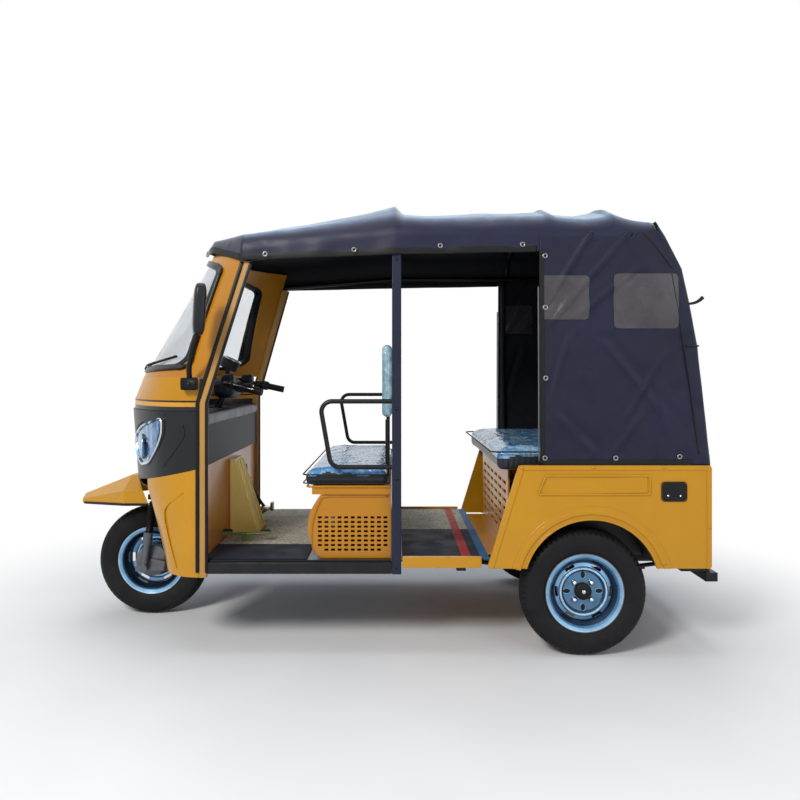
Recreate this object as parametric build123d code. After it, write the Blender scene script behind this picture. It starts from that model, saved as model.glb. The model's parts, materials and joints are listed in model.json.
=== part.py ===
import os
from math import atan2, cos, pi, radians, sin, sqrt, tan

from build123d import *

os.makedirs("parts", exist_ok=True)

# Driving dimensions, in millimetres. X runs along the vehicle with the nose at minus X,
# plus Y is the vehicle's right side and Z is up from the ground.
wheelbase = 2034
front_overhang = 329
rear_overhang = 617
cab_width = 1200
body_width = 1280
rear_track = 1110
wheel_diameter = 546
tyre_width = 122
bead_diameter = 305
floor_height = 410
tub_height = 822
roof_height = 1978
rake_degrees = 25
panel = 8
cloth = 6
fit = 0.3
swing_gap = 5
overrun = 20

overall_length = front_overhang + wheelbase + rear_overhang
front_end_x = -overall_length / 2
rear_end_x = overall_length / 2
front_axle_x = front_end_x + front_overhang
rear_axle_x = front_axle_x + wheelbase
wheel_radius = wheel_diameter / 2
cab_half = cab_width / 2
body_half = body_width / 2
track_half = rear_track / 2

# Stations along the vehicle, each from the axle that it follows.
post_behind_axle = 384
post_size = 32
pillar_station_share = 0.59538
pillar_behind_axle = wheelbase * pillar_station_share
pillar_size = 40
post_x = front_axle_x + post_behind_axle
pillar_x = front_axle_x + pillar_behind_axle
tub_rear_behind_axle = 529
tub_front_before_axle = 287
tub_foot_before_axle = 421
tub_foot_z = 385
tub_rear_x = rear_axle_x + tub_rear_behind_axle
tub_front_x = rear_axle_x - tub_front_before_axle
tub_foot_x = rear_axle_x - tub_foot_before_axle
floor_foot_z = floor_height - panel


def save(node, *shapes):
    """Writes the solids of one sub-part."""
    solids = [solid for shape in shapes for solid in shape.solids()]
    export_step(Compound(solids) if len(solids) > 1 else solids[0], f"parts/{node}.step")


def block(x0, x1, y0, y1, z0, z1):
    """A box between two corners."""
    middle = ((x0 + x1) / 2, (y0 + y1) / 2, (z0 + z1) / 2)
    return Pos(*middle) * Box(x1 - x0, y1 - y0, z1 - z0)


def both(shape):
    """A piece and its mirror image on the vehicle's other side."""
    return [shape, mirror(shape, about=Plane.XZ)]


def side_face(points, radius=0):
    """A closed outline in side view, from (x, z) points, with its corners rounded."""
    face = make_face(Polyline(*[(x, 0, z) for x, z in points], close=True))
    return fillet(face.vertices(), radius) if radius else face


def side_plate(points, y0, y1, radius=0):
    """A side view outline carried across from y0 to y1."""
    return Pos(0, y0, 0) * extrude(side_face(points, radius), amount=y1 - y0, dir=(0, 1, 0))


def cross_pin(x, z, radius, y0, y1):
    """A round bar across the vehicle."""
    return Solid.make_cylinder(radius, y1 - y0, Plane(origin=(x, y0, z), z_dir=(0, 1, 0)))


def rod(start, end, radius):
    """A straight round bar between two points."""
    start, end = Vector(*start), Vector(*end)
    return Solid.make_cylinder(radius, (end - start).length, Plane(origin=start, z_dir=end - start))


def bent_tube(points, bend, radius):
    """A round bar along straight runs with rounded bends."""
    path = FilletPolyline(*points, radius=bend)
    return sweep(Plane(origin=path @ 0, z_dir=path % 0) * Circle(radius), path=path)


def arch_edges(half_width, depth, corner, place):
    """A three centred arch: two corner arcs and one flat crown arc, tangent to each other."""
    crown = (half_width**2 + depth**2 - 2 * half_width * corner) / (2 * (depth - corner))
    turn = atan2(crown - depth, half_width - corner)

    def on_corner(angle):
        return half_width - corner + corner * cos(angle), corner * sin(angle)

    joint_u, joint_v = on_corner(turn)
    half_u, half_v = on_corner(turn / 2)
    return [
        ThreePointArc(place(-half_width, 0), place(-half_u, half_v), place(-joint_u, joint_v)),
        ThreePointArc(place(-joint_u, joint_v), place(0, depth), place(joint_u, joint_v)),
        ThreePointArc(place(joint_u, joint_v), place(half_u, half_v), place(half_width, 0)),
    ]


def arch_face(half_width, depth, corner, leg, place):
    """The arch closed below by two straight legs and a base line."""
    left_foot, right_foot = place(-half_width, -leg), place(half_width, -leg)
    sides = [
        Line(left_foot, place(-half_width, 0)),
        Line(place(half_width, 0), right_foot),
        Line(right_foot, left_foot),
    ]
    return make_face(sides + arch_edges(half_width, depth, corner, place))


# Nose: plan arches at three heights. Columns: height, half width, depth ahead of the posts, corner.
cheek_foot_z = 337
mask_foot_z = 700
mask_top_z = 1047
cheek_top_at_post_z = 802
mask_foot_slope_share = 0.2257
nose_foot_depth = 246
nose_foot_corner = 180
nose_waist_depth = 424
nose_waist_corner = 306
nose_top_depth = 452
nose_top_corner = 330
nose_sections = [
    (cheek_foot_z, cab_half, nose_foot_depth, nose_foot_corner),
    (mask_foot_z, cab_half, nose_waist_depth, nose_waist_corner),
    (mask_top_z, cab_half, nose_top_depth, nose_top_corner),
]
cowl_crease_z = 1090
cowl_top_z = 1195
mask_step = 8
cowl_top_rake = 46
cowl_half = cab_half - mask_step
cowl_depth = nose_top_depth - mask_step
cowl_corner = nose_top_corner - mask_step
cowl_top_corner = 290
cowl_sections = [
    (mask_top_z + fit, cowl_half, cowl_depth, cowl_corner),
    (cowl_crease_z, cowl_half, cowl_depth, cowl_corner),
    (cowl_top_z, cowl_half, cowl_depth - cowl_top_rake, cowl_top_corner),
]
arch_opening_half = 450
nose_back_x = post_x - fit
nose_reach = 600


def nose_loft(sections, inset, low=0, high=0):
    """The nose's outline between its plan arches, drawn in by inset, run on below and above."""
    rows = list(sections)
    if low:
        rows.insert(0, (rows[0][0] - low, *rows[0][1:]))
    if high:
        rows.append((rows[-1][0] + high, *rows[-1][1:]))
    faces = [
        arch_face(
            half - inset, depth - inset, corner - inset, overrun,
            lambda u, v, z=z: (post_x - v, u, z),
        )
        for z, half, depth, corner in rows
    ]
    return loft(faces, ruled=True)


def mask_foot_at(x):
    """Height of the slanting joint between the black mask and the yellow cheeks."""
    return cheek_top_at_post_z + (x - post_x) * mask_foot_slope_share


def side_region(points):
    """A side view region over the whole width."""
    return side_plate(points, -body_half, body_half)


nose_far_x = post_x - nose_reach
lower_shell = nose_loft(nose_sections, 0) - nose_loft(nose_sections, panel, overrun, overrun)
mask_region = side_region([
    (nose_far_x, mask_foot_at(nose_far_x)), (nose_back_x, mask_foot_at(nose_back_x)),
    (nose_back_x, mask_top_z), (nose_far_x, mask_top_z),
])
cheek_region = side_region([
    (nose_far_x, mask_foot_at(nose_far_x) - fit), (nose_back_x, mask_foot_at(nose_back_x) - fit),
    (nose_back_x, cheek_foot_z), (nose_far_x, cheek_foot_z),
])

# Headlamps: a leaf shaped outline in front view, cut through the mask. Columns: the shares of
# the leaf's half width and half height at each point, from its middle.
leaf_mid_y = 417.5
leaf_mid_z = 908
leaf_half_width = 132.5
leaf_half_height = 112
leaf_shares = [(1, 1), (0.057, 0.607), (-0.66, 0.241), (-1, -0.161), (-0.736, -0.732), (-0.132, -1),
               (0.411, -0.839), (0.834, -0.205), (1, 0.375)]
lamp_outline = [(leaf_mid_y + leaf_half_width * y_share, leaf_mid_z + leaf_half_height * z_share)
                for y_share, z_share in leaf_shares]
lamp_corner = 12
lamp_rim = 7
lens_depth = 3
lens_sheet = 4


def front_face(points, radius=0):
    """A closed outline in front view, from (y, z) points."""
    face = make_face(Polyline(*[(0, y, z) for y, z in points], close=True))
    return fillet(face.vertices(), radius) if radius else face


def front_cutter(face, x0, x1):
    """A front view outline carried along from x0 to x1."""
    return Pos(x0, 0, 0) * extrude(face, amount=x1 - x0, dir=(1, 0, 0))


lamp_face = front_face(lamp_outline, lamp_corner)
lamp_hole = front_cutter(lamp_face, nose_far_x, nose_back_x)
lamp_fit = front_cutter(offset(lamp_face, -fit), nose_far_x, nose_back_x)
lamp_inner = front_cutter(offset(lamp_face, -fit - lamp_rim), nose_far_x, nose_back_x)
lens_prism = front_cutter(offset(lamp_face, -fit - lamp_rim - fit), nose_far_x, nose_back_x)
bezel_shell = (
    nose_loft(nose_sections, -lens_depth, overrun, 0)
    - nose_loft(nose_sections, panel, overrun, overrun)
)
lens_shell = (
    nose_loft(nose_sections, lens_depth, overrun, 0)
    - nose_loft(nose_sections, lens_depth + lens_sheet, overrun, overrun)
)
bowl_shell = (
    nose_loft(nose_sections, lens_depth + lens_sheet + fit, overrun, 0)
    - nose_loft(nose_sections, panel + lens_sheet, overrun, overrun)
)
save("headlamp_bezels", *both((bezel_shell & lamp_fit) - lamp_inner), *both(bowl_shell & lens_prism))
save("headlamp_lenses", *both(lens_shell & lens_prism))
mask = (lower_shell & mask_region) - lamp_hole - mirror(lamp_hole, about=Plane.XZ)
save("nose_mask", mask)

cheek_opening = block(nose_far_x, nose_back_x, -arch_opening_half, arch_opening_half,
                      cheek_foot_z - overrun, mask_top_z)
save("nose_cheeks", (lower_shell & cheek_region) - cheek_opening)

# Windscreen: a bowed frame between a foot arc and a head arc, its ends along the leaning posts.
# Columns: height, nose, half width.
post_bend_z = 1085
post_lean_share = 0.296
head_below_crown = 190
screen_head_z = roof_height - head_below_crown
post_top_below_head = 88
post_top_z = screen_head_z - post_top_below_head
post_top_half = 551
screen_foot_half = cab_half - mask_step
screen_head_half = post_top_half - mask_step
screen_foot_before_axle = 23
screen_head_bow = 265
screen_foot_nose = front_axle_x - screen_foot_before_axle
screen_head_nose = post_x + (screen_head_z - post_bend_z) * post_lean_share - screen_head_bow
screen_sections = [
    (cowl_top_z + fit, screen_foot_nose, screen_foot_half),
    (screen_head_z, screen_head_nose, screen_head_half),
]
frame_wall = 14
seal_width = 18
seal_lip = 3
glass_wall = 5
glass_border = 44
glass_foot_border = 27
glass_foot_rise = 14
glass_head_border = 28
glass_head_drop = 70
glass_foot_half = screen_foot_half - glass_border
glass_head_half = screen_head_half - glass_border * 2
glass_foot_mid_z = cowl_top_z + glass_foot_border
glass_foot_side_z = glass_foot_mid_z + glass_foot_rise
glass_head_mid_z = screen_head_z - glass_head_border
glass_head_side_z = glass_head_mid_z - glass_head_drop
glass_corner = 60


def post_front_at(z):
    """Front edge of the door post: upright below, leaning back above the bend."""
    return post_x + max(z - post_bend_z, 0) * post_lean_share


def screen_layer(outer, inner):
    """The bowed windscreen surface as a wall between two insets."""
    faces = []
    for z, nose, half in screen_sections:
        back = post_front_at(z) - fit
        front_arc = ThreePointArc((back, outer - half, z), (nose + outer, 0, z), (back, half - outer, z))
        rear_arc = ThreePointArc((back, half - inner, z), (nose + inner, 0, z), (back, inner - half, z))
        ends = [Line(front_arc @ 1, rear_arc @ 0), Line(rear_arc @ 1, front_arc @ 0)]
        faces.append(make_face([front_arc, rear_arc, *ends]))
    return loft(faces, ruled=True)


glass_outline = [
    ThreePointArc((0, -glass_foot_half, glass_foot_side_z), (0, 0, glass_foot_mid_z),
                  (0, glass_foot_half, glass_foot_side_z)),
    Line((0, glass_foot_half, glass_foot_side_z), (0, glass_head_half, glass_head_side_z)),
    ThreePointArc((0, glass_head_half, glass_head_side_z), (0, 0, glass_head_mid_z),
                  (0, -glass_head_half, glass_head_side_z)),
    Line((0, -glass_head_half, glass_head_side_z), (0, -glass_foot_half, glass_foot_side_z)),
]
screen_face = make_face(glass_outline)
screen_face = fillet(screen_face.vertices(), glass_corner)
screen_far_x = front_axle_x - overrun * 5
screen_hole = front_cutter(screen_face, screen_far_x, pillar_x)
seal_outer = front_cutter(offset(screen_face, -fit), screen_far_x, pillar_x)
seal_inner = front_cutter(offset(screen_face, -seal_width), screen_far_x, pillar_x)
glass_prism = front_cutter(offset(screen_face, -seal_width - fit), screen_far_x, pillar_x)
save("windscreen_frame", screen_layer(0, frame_wall) - screen_hole)
save("windscreen_seal", (screen_layer(-seal_lip, frame_wall + seal_lip) & seal_outer) - seal_inner)
save("windscreen_glass", screen_layer(glass_wall, glass_wall * 2) & glass_prism)

# Cowl: closed above by a ledge that carries the windscreen frame.
ledge_reach = 60
cowl_region = side_region([
    (nose_far_x, mask_top_z - overrun), (nose_back_x, mask_top_z - overrun),
    (nose_back_x, cowl_top_z + overrun), (nose_far_x, cowl_top_z + overrun),
])
ledge_nose = screen_foot_nose + ledge_reach
ledge_half = screen_sections[0][2] - ledge_reach
ledge_arc = ThreePointArc((nose_back_x + overrun, -ledge_half, cowl_top_z - overrun),
                          (ledge_nose, 0, cowl_top_z - overrun),
                          (nose_back_x + overrun, ledge_half, cowl_top_z - overrun))
ledge_hole = extrude(make_face([ledge_arc, Line(ledge_arc @ 1, ledge_arc @ 0)]),
                     amount=overrun * 2, dir=(0, 0, 1))
cowl_inner = (nose_loft(cowl_sections, panel, overrun, 0)
              & block(nose_far_x, pillar_x, -cab_half, cab_half, 0, cowl_top_z - panel))
cowl = ((nose_loft(cowl_sections, 0) & cowl_region) - cowl_inner) - ledge_hole
save("cowl", cowl)

# Door posts: an upright and a leaning length, both sides.
post_foot_z = 336
post_depth = 25


def post_section(z, half):
    front = post_front_at(z)
    points = [(front, half - post_depth, z), (front + post_size, half - post_depth, z),
              (front + post_size, half, z), (front, half, z)]
    return make_face(Polyline(*points, close=True))


post = loft([post_section(post_foot_z, cab_half), post_section(post_bend_z, cab_half)], ruled=True)
post += loft([post_section(post_bend_z, cab_half), post_section(post_top_z, post_top_half)], ruled=True)
save("door_posts", *both(post))

# Beak: a faceted mudguard that runs forward from under the mask. Points are (y, z) of each end.
beak_wall = 6
beak_root_behind_front_axle = 60
beak_root_x = front_axle_x + beak_root_behind_front_axle
beak_root_half = 262
beak_root_shoulder = 150
beak_root_foot_z = 590
beak_root_edge_z = 655
beak_root_top_z = 717
beak_tip_half = 96
beak_tip_shoulder = 58
beak_tip_foot_z = 571
beak_tip_edge_z = 590
beak_tip_top_z = 612
beak_mask_before_front_axle = 64
beak_mask_x = front_axle_x - beak_mask_before_front_axle


def beak_section(x, half, shoulder, foot, edge, top, inset=0, drop=0):
    points = [
        (x, inset - half, foot - drop), (x, inset - half, edge), (x, inset - shoulder, top - inset),
        (x, shoulder - inset, top - inset), (x, half - inset, edge), (x, half - inset, foot - drop),
    ]
    return make_face(Polyline(*points, close=True))


def beak_loft(front_x, inset=0, drop=0):
    root = (beak_root_half, beak_root_shoulder, beak_root_foot_z, beak_root_edge_z, beak_root_top_z)
    tip = (beak_tip_half, beak_tip_shoulder, beak_tip_foot_z, beak_tip_edge_z, beak_tip_top_z)
    back = loft([beak_section(beak_mask_x, *root, inset, drop), beak_section(front_x, *tip, inset, drop)],
                ruled=True)
    run = beak_section(beak_mask_x, *root, inset, drop)
    return back + extrude(run, amount=beak_root_x - beak_mask_x, dir=(1, 0, 0))


beak = beak_loft(front_end_x) - beak_loft(front_end_x + beak_wall, beak_wall, overrun)
beak -= nose_loft(nose_sections, -fit, overrun, 0)
save("front_mudguard", beak)

# Wheel well behind and above the front wheel.
well_wall = 4
well_rear_behind_front_axle = 300
well_rear_x = front_axle_x + well_rear_behind_front_axle
well_top_z = 700
well_front_before_front_axle = 20
well_front_x = front_axle_x - well_front_before_front_axle
well_half = arch_opening_half - panel
rake = radians(rake_degrees)
bar_clamp_z = 1150
steer_top_behind_front_axle = 371
steer_top_x = front_axle_x + steer_top_behind_front_axle


def steer_x(z):
    """Where the raked steering axis is at a height."""
    return steer_top_x - (bar_clamp_z - z) * tan(rake)


def on_axis(z):
    return (steer_x(z), 0, z)


stem_radius = 17
head_radius = 30
head_low_z = 640
head_high_z = 860
well = block(well_rear_x, well_rear_x + well_wall, -well_half, well_half, floor_foot_z, well_top_z)
well += block(well_front_x, well_rear_x + well_wall, -well_half, well_half,
              well_top_z, well_top_z + well_wall)
well &= nose_loft([(cheek_foot_z, *nose_sections[0][1:]), (mask_foot_z, *nose_sections[1][1:]),
                   nose_sections[2]], panel + fit, 0, 0)
well -= rod(on_axis(head_low_z - overrun), on_axis(head_high_z), head_radius + fit)
save("wheel_well", well)

# Front frame: the head tube and the box section that carries it from the floor.
leg_half = 30
leg_front_x = well_rear_x + well_wall + fit
leg_depth = 60
leg_rear_x = leg_front_x + leg_depth
arm_low_z = well_top_z + well_wall + overrun
arm_high_z = head_high_z - overrun
head_tube = rod(on_axis(head_low_z), on_axis(head_high_z), head_radius)
frame_leg = side_plate([
    (steer_x(arm_low_z), arm_low_z), (leg_front_x, arm_low_z), (leg_front_x, floor_height),
    (leg_rear_x, floor_height), (leg_rear_x, arm_high_z - overrun * 2), (steer_x(arm_high_z), arm_high_z),
], -leg_half, leg_half)
head_bore = rod(on_axis(head_low_z - overrun), on_axis(head_high_z + overrun), stem_radius + fit)
save("front_frame", (head_tube + frame_leg) - head_bore)

# Dash: a shelf that turns down towards the driver.
dash_wall = 8
dash_rear_behind_post = 21
dash_rear_x = post_x + dash_rear_behind_post
dash_foot_z = 809
dash_top_z = 1040
dash_half = cab_half - post_depth - fit
dash_round = 40
dash_front_behind_front_axle = 40
dash_front_x = front_axle_x + dash_front_behind_front_axle
dash_hole = 62
dash_face = side_face([(dash_front_x, dash_top_z), (dash_rear_x, dash_top_z), (dash_rear_x, dash_foot_z),
                       (post_x - overrun, dash_foot_z), (dash_front_x, dash_top_z - overrun * 2)])
dash_solid = Pos(0, -dash_half, 0) * extrude(dash_face, amount=dash_half * 2, dir=(0, 1, 0))
dash_edge = dash_solid.edges().filter_by(Axis.Y).group_by(Axis.Z)[-1].sort_by(Axis.X)[-1]
dash_solid = fillet(dash_edge, dash_round)
dash_keep = nose_loft(nose_sections, panel + lens_sheet + fit * 2, 0, 0)
dash_keep += block(post_x, dash_rear_x, -dash_half, dash_half, dash_foot_z, dash_top_z)
dash_inner = side_plate([
    (dash_front_x - overrun, dash_top_z - dash_wall), (dash_rear_x - dash_wall, dash_top_z - dash_wall),
    (dash_rear_x - dash_wall, dash_foot_z - overrun), (dash_front_x - overrun, dash_foot_z - overrun),
], -dash_half + dash_wall, dash_half - dash_wall)
dash = (dash_solid & dash_keep) - dash_inner
dash -= rod(on_axis(head_high_z - overrun), on_axis(bar_clamp_z), dash_hole)
save("dash", dash)

# Inner apron below the dash, and the ridged cover of the steering column's box section.
apron_wall = 4
apron_x = post_x + panel
apron_half = cab_half - post_depth - fit
cover_half = 95
cover_top_rear_behind_front_axle = 427
cover_top_rear_x = front_axle_x + cover_top_rear_behind_front_axle
cover_top_z = 785
cover_foot_rear_behind_front_axle = 542
cover_foot_rear_x = front_axle_x + cover_foot_rear_behind_front_axle
ridge = 5
ridge_count = 5
apron_top_z = dash_foot_z - fit
apron = block(apron_x, apron_x + apron_wall, -apron_half, apron_half, floor_height + fit, apron_top_z)
cover_front_x = apron_x + apron_wall + fit
cover = side_plate([(cover_front_x, cover_top_z), (cover_top_rear_x, cover_top_z),
                    (cover_foot_rear_x, floor_height + fit), (cover_front_x, floor_height + fit)],
                   -cover_half, cover_half)
cover -= side_plate([(cover_front_x - overrun, cover_top_z - apron_wall),
                     (cover_top_rear_x - apron_wall, cover_top_z - apron_wall),
                     (cover_foot_rear_x - apron_wall, floor_height - overrun),
                     (cover_front_x - overrun, floor_height - overrun)],
                    -cover_half + apron_wall, cover_half - apron_wall)
ridge_pitch = 2 * cover_half / (ridge_count + 1)
for number in range(ridge_count):
    ridge_y = -cover_half + ridge_pitch * (number + 1)
    cover += side_plate([(cover_top_rear_x - fit, cover_top_z), (cover_top_rear_x + ridge, cover_top_z - ridge),
                         (cover_foot_rear_x + ridge, floor_height + ridge),
                         (cover_foot_rear_x - fit, floor_height + ridge)],
                        ridge_y - ridge, ridge_y + ridge)
save("inner_apron", apron, cover)

# Foot controls: a heel and toe gear lever on the left, a brake pedal on the right.
lever_behind_front_axle = 517
lever_x = front_axle_x + lever_behind_front_axle
lever_y = -250
lever_rise = 40
lever_z = floor_height + lever_rise
lever_reach = 92
pad_size = 22
pedal_pivot_behind_front_axle = 480
pedal_pivot_x = front_axle_x + pedal_pivot_behind_front_axle
pedal_behind_front_axle = 555
pedal_x = front_axle_x + pedal_behind_front_axle
pedal_rise = 80
pedal_z = floor_height + pedal_rise
control_bar = 7
gear = block(lever_x - pad_size, lever_x + pad_size, lever_y - control_bar, lever_y + control_bar,
             floor_height + fit, lever_z)
gear += rod((lever_x - lever_reach, lever_y, lever_z), (lever_x + lever_reach, lever_y, lever_z), control_bar)
for end in (-1, 1):
    pad_x = lever_x + end * lever_reach
    gear += block(pad_x - pad_size, pad_x + pad_size, lever_y - pad_size, lever_y + pad_size,
                  lever_z, lever_z + control_bar * 2)
pedal = block(pedal_pivot_x - pad_size, pedal_pivot_x + pad_size, -lever_y - control_bar,
              -lever_y + control_bar, floor_height + fit, lever_z)
pedal += rod((pedal_pivot_x, -lever_y, lever_z - control_bar), (pedal_x, -lever_y, pedal_z), control_bar)
pedal += block(pedal_x - control_bar, pedal_x + control_bar, -lever_y - pad_size, -lever_y + pad_size,
               pedal_z - pad_size, pedal_z + pad_size)
save("foot_controls", gear, pedal)

# Mirrors: an upright slab on a bent arm from a foot block on the cowl.
mirror_width = 128
mirror_inner_y = 640
mirror_depth = 62
mirror_low_z = 1367
mirror_high_z = 1585
mirror_behind_front_axle = 414
mirror_x = front_axle_x + mirror_behind_front_axle
mirror_corner = 22
arm_radius = 7
foot_behind_front_axle = 346
foot_x = front_axle_x + foot_behind_front_axle
foot_length = 66
foot_drop = 2
foot_height = 53
foot_high_z = cowl_top_z - foot_drop
foot_low_z = foot_high_z - foot_height
foot_overhang = 25
foot_half = cab_half + foot_overhang
mirror_mid_y = mirror_inner_y + mirror_width / 2
slab = block(mirror_x - mirror_depth / 2, mirror_x + mirror_depth / 2, mirror_inner_y,
             mirror_inner_y + mirror_width, mirror_low_z, mirror_high_z)
slab = fillet(slab.edges().filter_by(Axis.X), mirror_corner)
arm = bent_tube([(foot_x, foot_half - arm_radius * 2, foot_high_z - arm_radius),
                 (foot_x + overrun, mirror_mid_y - overrun, foot_high_z + overrun * 4),
                 (mirror_x, mirror_mid_y, mirror_low_z + overrun)], overrun * 2, arm_radius)
foot = block(foot_x - foot_length / 2, foot_x + foot_length / 2, cab_half - overrun * 3, foot_half,
             foot_low_z, foot_high_z)
foot -= nose_loft(cowl_sections, -fit, 0, overrun)
save("mirrors", *both(slab + arm + foot))

# Chassis: rails, crossmembers, outriggers and sills.
rail_y = 300
rail_width = 40
rail_height = 60
rail_front_before_post = 60
rail_front_x = post_x - rail_front_before_post
rear_wall = 10
rail_rear_x = tub_rear_x - rear_wall - fit
rail_foot_z = floor_foot_z - rail_height
rails = block(rail_front_x, rail_rear_x, rail_y, rail_y + rail_width, rail_foot_z, floor_foot_z)
pad_wall = 10
pad_length = 80
pad_station_behind_pillar = 250
pad_station = pillar_x + pad_station_behind_pillar
rails += block(pad_station - pad_length / 2, pad_station + pad_length / 2, rail_y,
               rail_y + rail_width, rail_foot_z - pad_wall, rail_foot_z)
save("chassis_rails", *both(rails))

member_height = 46
member_foot_z = floor_foot_z - member_height
sill_width = 40
sill_proud = 2
sill_half = cab_half + sill_proud
sill_inner = sill_half - sill_width
engine_front_before_pillar = 280
engine_front_x = pillar_x - engine_front_before_pillar
engine_rear_before_pillar = 20
engine_rear_x = pillar_x - engine_rear_before_pillar
tail_member_behind_rear_axle = 480
tail_member_x = rear_axle_x + tail_member_behind_rear_axle
member_size = 40
axle_member_behind_axle = 160
member_stations = [rail_front_x + member_size, engine_front_x - member_size / 2,
                   engine_rear_x + member_size / 2 + fit * 2, rear_axle_x + axle_member_behind_axle,
                   tail_member_x]
members = []
for x in member_stations:
    members.append(block(x - member_size / 2, x + member_size / 2, -rail_y, rail_y,
                         member_foot_z, floor_foot_z))
outrigger_behind_post = 110
outrigger_before_axle = 523
outrigger_stations = [post_x + outrigger_behind_post, engine_front_x - member_size / 2,
                      pillar_x + pillar_size / 2, rear_axle_x - outrigger_before_axle]
for x in outrigger_stations:
    members += both(block(x - member_size / 2, x + member_size / 2, rail_y + rail_width, sill_inner,
                          member_foot_z, floor_foot_z))
bumper_half = 500
members += both(block(tail_member_x - member_size / 2, tail_member_x + member_size / 2,
                      rail_y + rail_width, bumper_half, member_foot_z, floor_foot_z))
save("crossmembers", *members)

sill_foot_z = 353
front_sill = block(post_x + post_size + fit, pillar_x - fit, sill_inner, sill_half, sill_foot_z, floor_foot_z)
save("front_sills", *both(front_sill))
rear_sill_foot_z = 379
rear_sill_top_z = 427
rear_sill_depth = 16
tub_foot_gap = 18
rear_sill = block(pillar_x + pillar_size + swing_gap, tub_foot_x - fit - tub_foot_gap,
                  sill_half - rear_sill_depth, sill_half, rear_sill_foot_z, rear_sill_top_z)
save("rear_sills", *both(rear_sill))

# Floor: one pressed pan, wide in the cab and narrow between the rear wheel housings.
pan_half = sill_half - rear_sill_depth - fit
housing_inner_y = 460
engine_half = 170
pan_front_x = well_rear_x + well_wall + fit
pan = block(pan_front_x, nose_back_x + post_size + fit * 2, -well_half, well_half, floor_foot_z, floor_height)
pan += block(post_x + post_size + fit, tub_foot_x - tub_foot_gap, -pan_half, pan_half,
             floor_foot_z, floor_height)
pan += block(tub_foot_x - tub_foot_gap, tub_rear_x - rear_wall - fit, -housing_inner_y + fit,
             housing_inner_y - fit, floor_foot_z, floor_height)
for side in (-1, 1):
    pillar_mid_y = side * (sill_half - pillar_size / 2)
    pan -= block(pillar_x - fit, pillar_x + pillar_size + fit, pillar_mid_y - pillar_size,
                 pillar_mid_y + pillar_size, floor_foot_z - fit, floor_height + fit)
pan -= block(engine_front_x - fit, engine_rear_x + fit, -engine_half - fit, engine_half + fit,
             floor_foot_z - overrun, floor_height + overrun)
save("floor_pan", pan)

mat_wall = 5
mat_margin = 6
mat_half = pan_half - mat_margin
bench_front_before_pillar = 361
bench_front_x = pillar_x - bench_front_before_pillar
bench_rear_before_pillar = 5
bench_rear_x = pillar_x - bench_rear_before_pillar
mat_rear_before_rear_axle = 402
mat_rear_x = rear_axle_x - mat_rear_before_rear_axle
front_mat = block(cover_foot_rear_x + ridge + swing_gap, bench_front_x - swing_gap, -mat_half, mat_half,
                  floor_height + fit, floor_height + mat_wall)
rear_mat = block(pillar_x + pillar_size + swing_gap, mat_rear_x, -mat_half, mat_half,
                 floor_height + fit, floor_height + mat_wall)
for side in (-1, 1):
    front_mat += block(cover_front_x + swing_gap, cover_foot_rear_x + ridge + swing_gap,
                       (cover_half + mat_half) / 2 * side - (mat_half - cover_half) / 2 + swing_gap,
                       (cover_half + mat_half) / 2 * side + (mat_half - cover_half) / 2 - swing_gap,
                       floor_height + fit, floor_height + mat_wall)
controls = both(block(lever_x - pad_size - fit, lever_x + pad_size + fit, lever_y - control_bar - fit,
                      lever_y + control_bar + fit, floor_height, floor_height + overrun))
controls += both(block(pedal_pivot_x - pad_size - fit, pedal_pivot_x + pad_size + fit,
                       lever_y - control_bar - fit, lever_y + control_bar + fit,
                       floor_height, floor_height + overrun))
for cut in controls:
    front_mat -= cut
save("floor_mats", front_mat, rear_mat)

# Engine and drive line.
engine_foot_z = 262
engine_top_z = 640
engine = block(engine_front_x, engine_rear_x, -engine_half, engine_half, engine_foot_z, engine_top_z)
save("engine", engine)

shaft_radius = 22
joint_radius = 32
joint_length = 50
diff_radius = 88
shaft_z = (engine_foot_z + member_foot_z) / 2
axle_z = wheel_radius
diff_front_x = rear_axle_x - diff_radius
shaft_start = (engine_rear_x + fit, 0, shaft_z)
shaft_end = (diff_front_x - fit, 0, axle_z)
shaft = rod(shaft_start, shaft_end, shaft_radius)
shaft += rod(shaft_start, (engine_rear_x + joint_length, 0, shaft_z), joint_radius)
shaft_keep = block(engine_rear_x + fit, diff_front_x - fit, -rail_y, rail_y, 0, member_foot_z)
save("propeller_shaft", shaft & shaft_keep)

axle_tube = 30
plate_radius = 106
plate_wall = 7
drum_inner_y = 492
stub_radius = 14
hub_cap_reach = 36
hub_cap_y = track_half + hub_cap_reach
axle = cross_pin(rear_axle_x, axle_z, axle_tube, -drum_inner_y + swing_gap, drum_inner_y - swing_gap)
axle += cross_pin(rear_axle_x, axle_z, diff_radius, -diff_radius, diff_radius)
for side in (-1, 1):
    plate_y = side * (drum_inner_y - swing_gap - plate_wall / 2)
    axle += cross_pin(rear_axle_x, axle_z, plate_radius, plate_y - plate_wall / 2, plate_y + plate_wall / 2)
axle += cross_pin(rear_axle_x, axle_z, stub_radius, -track_half, track_half)
save("rear_axle", axle)

spring_y = 390
spring_width = 40
spring_half = 430
spring_rise = 34
leaf = 8
leaf_count = 3
leaf_step_share = 0.26
eye_radius = 16
eye_pin = 7
spring_seat_z = axle_z + axle_tube + fit


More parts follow.
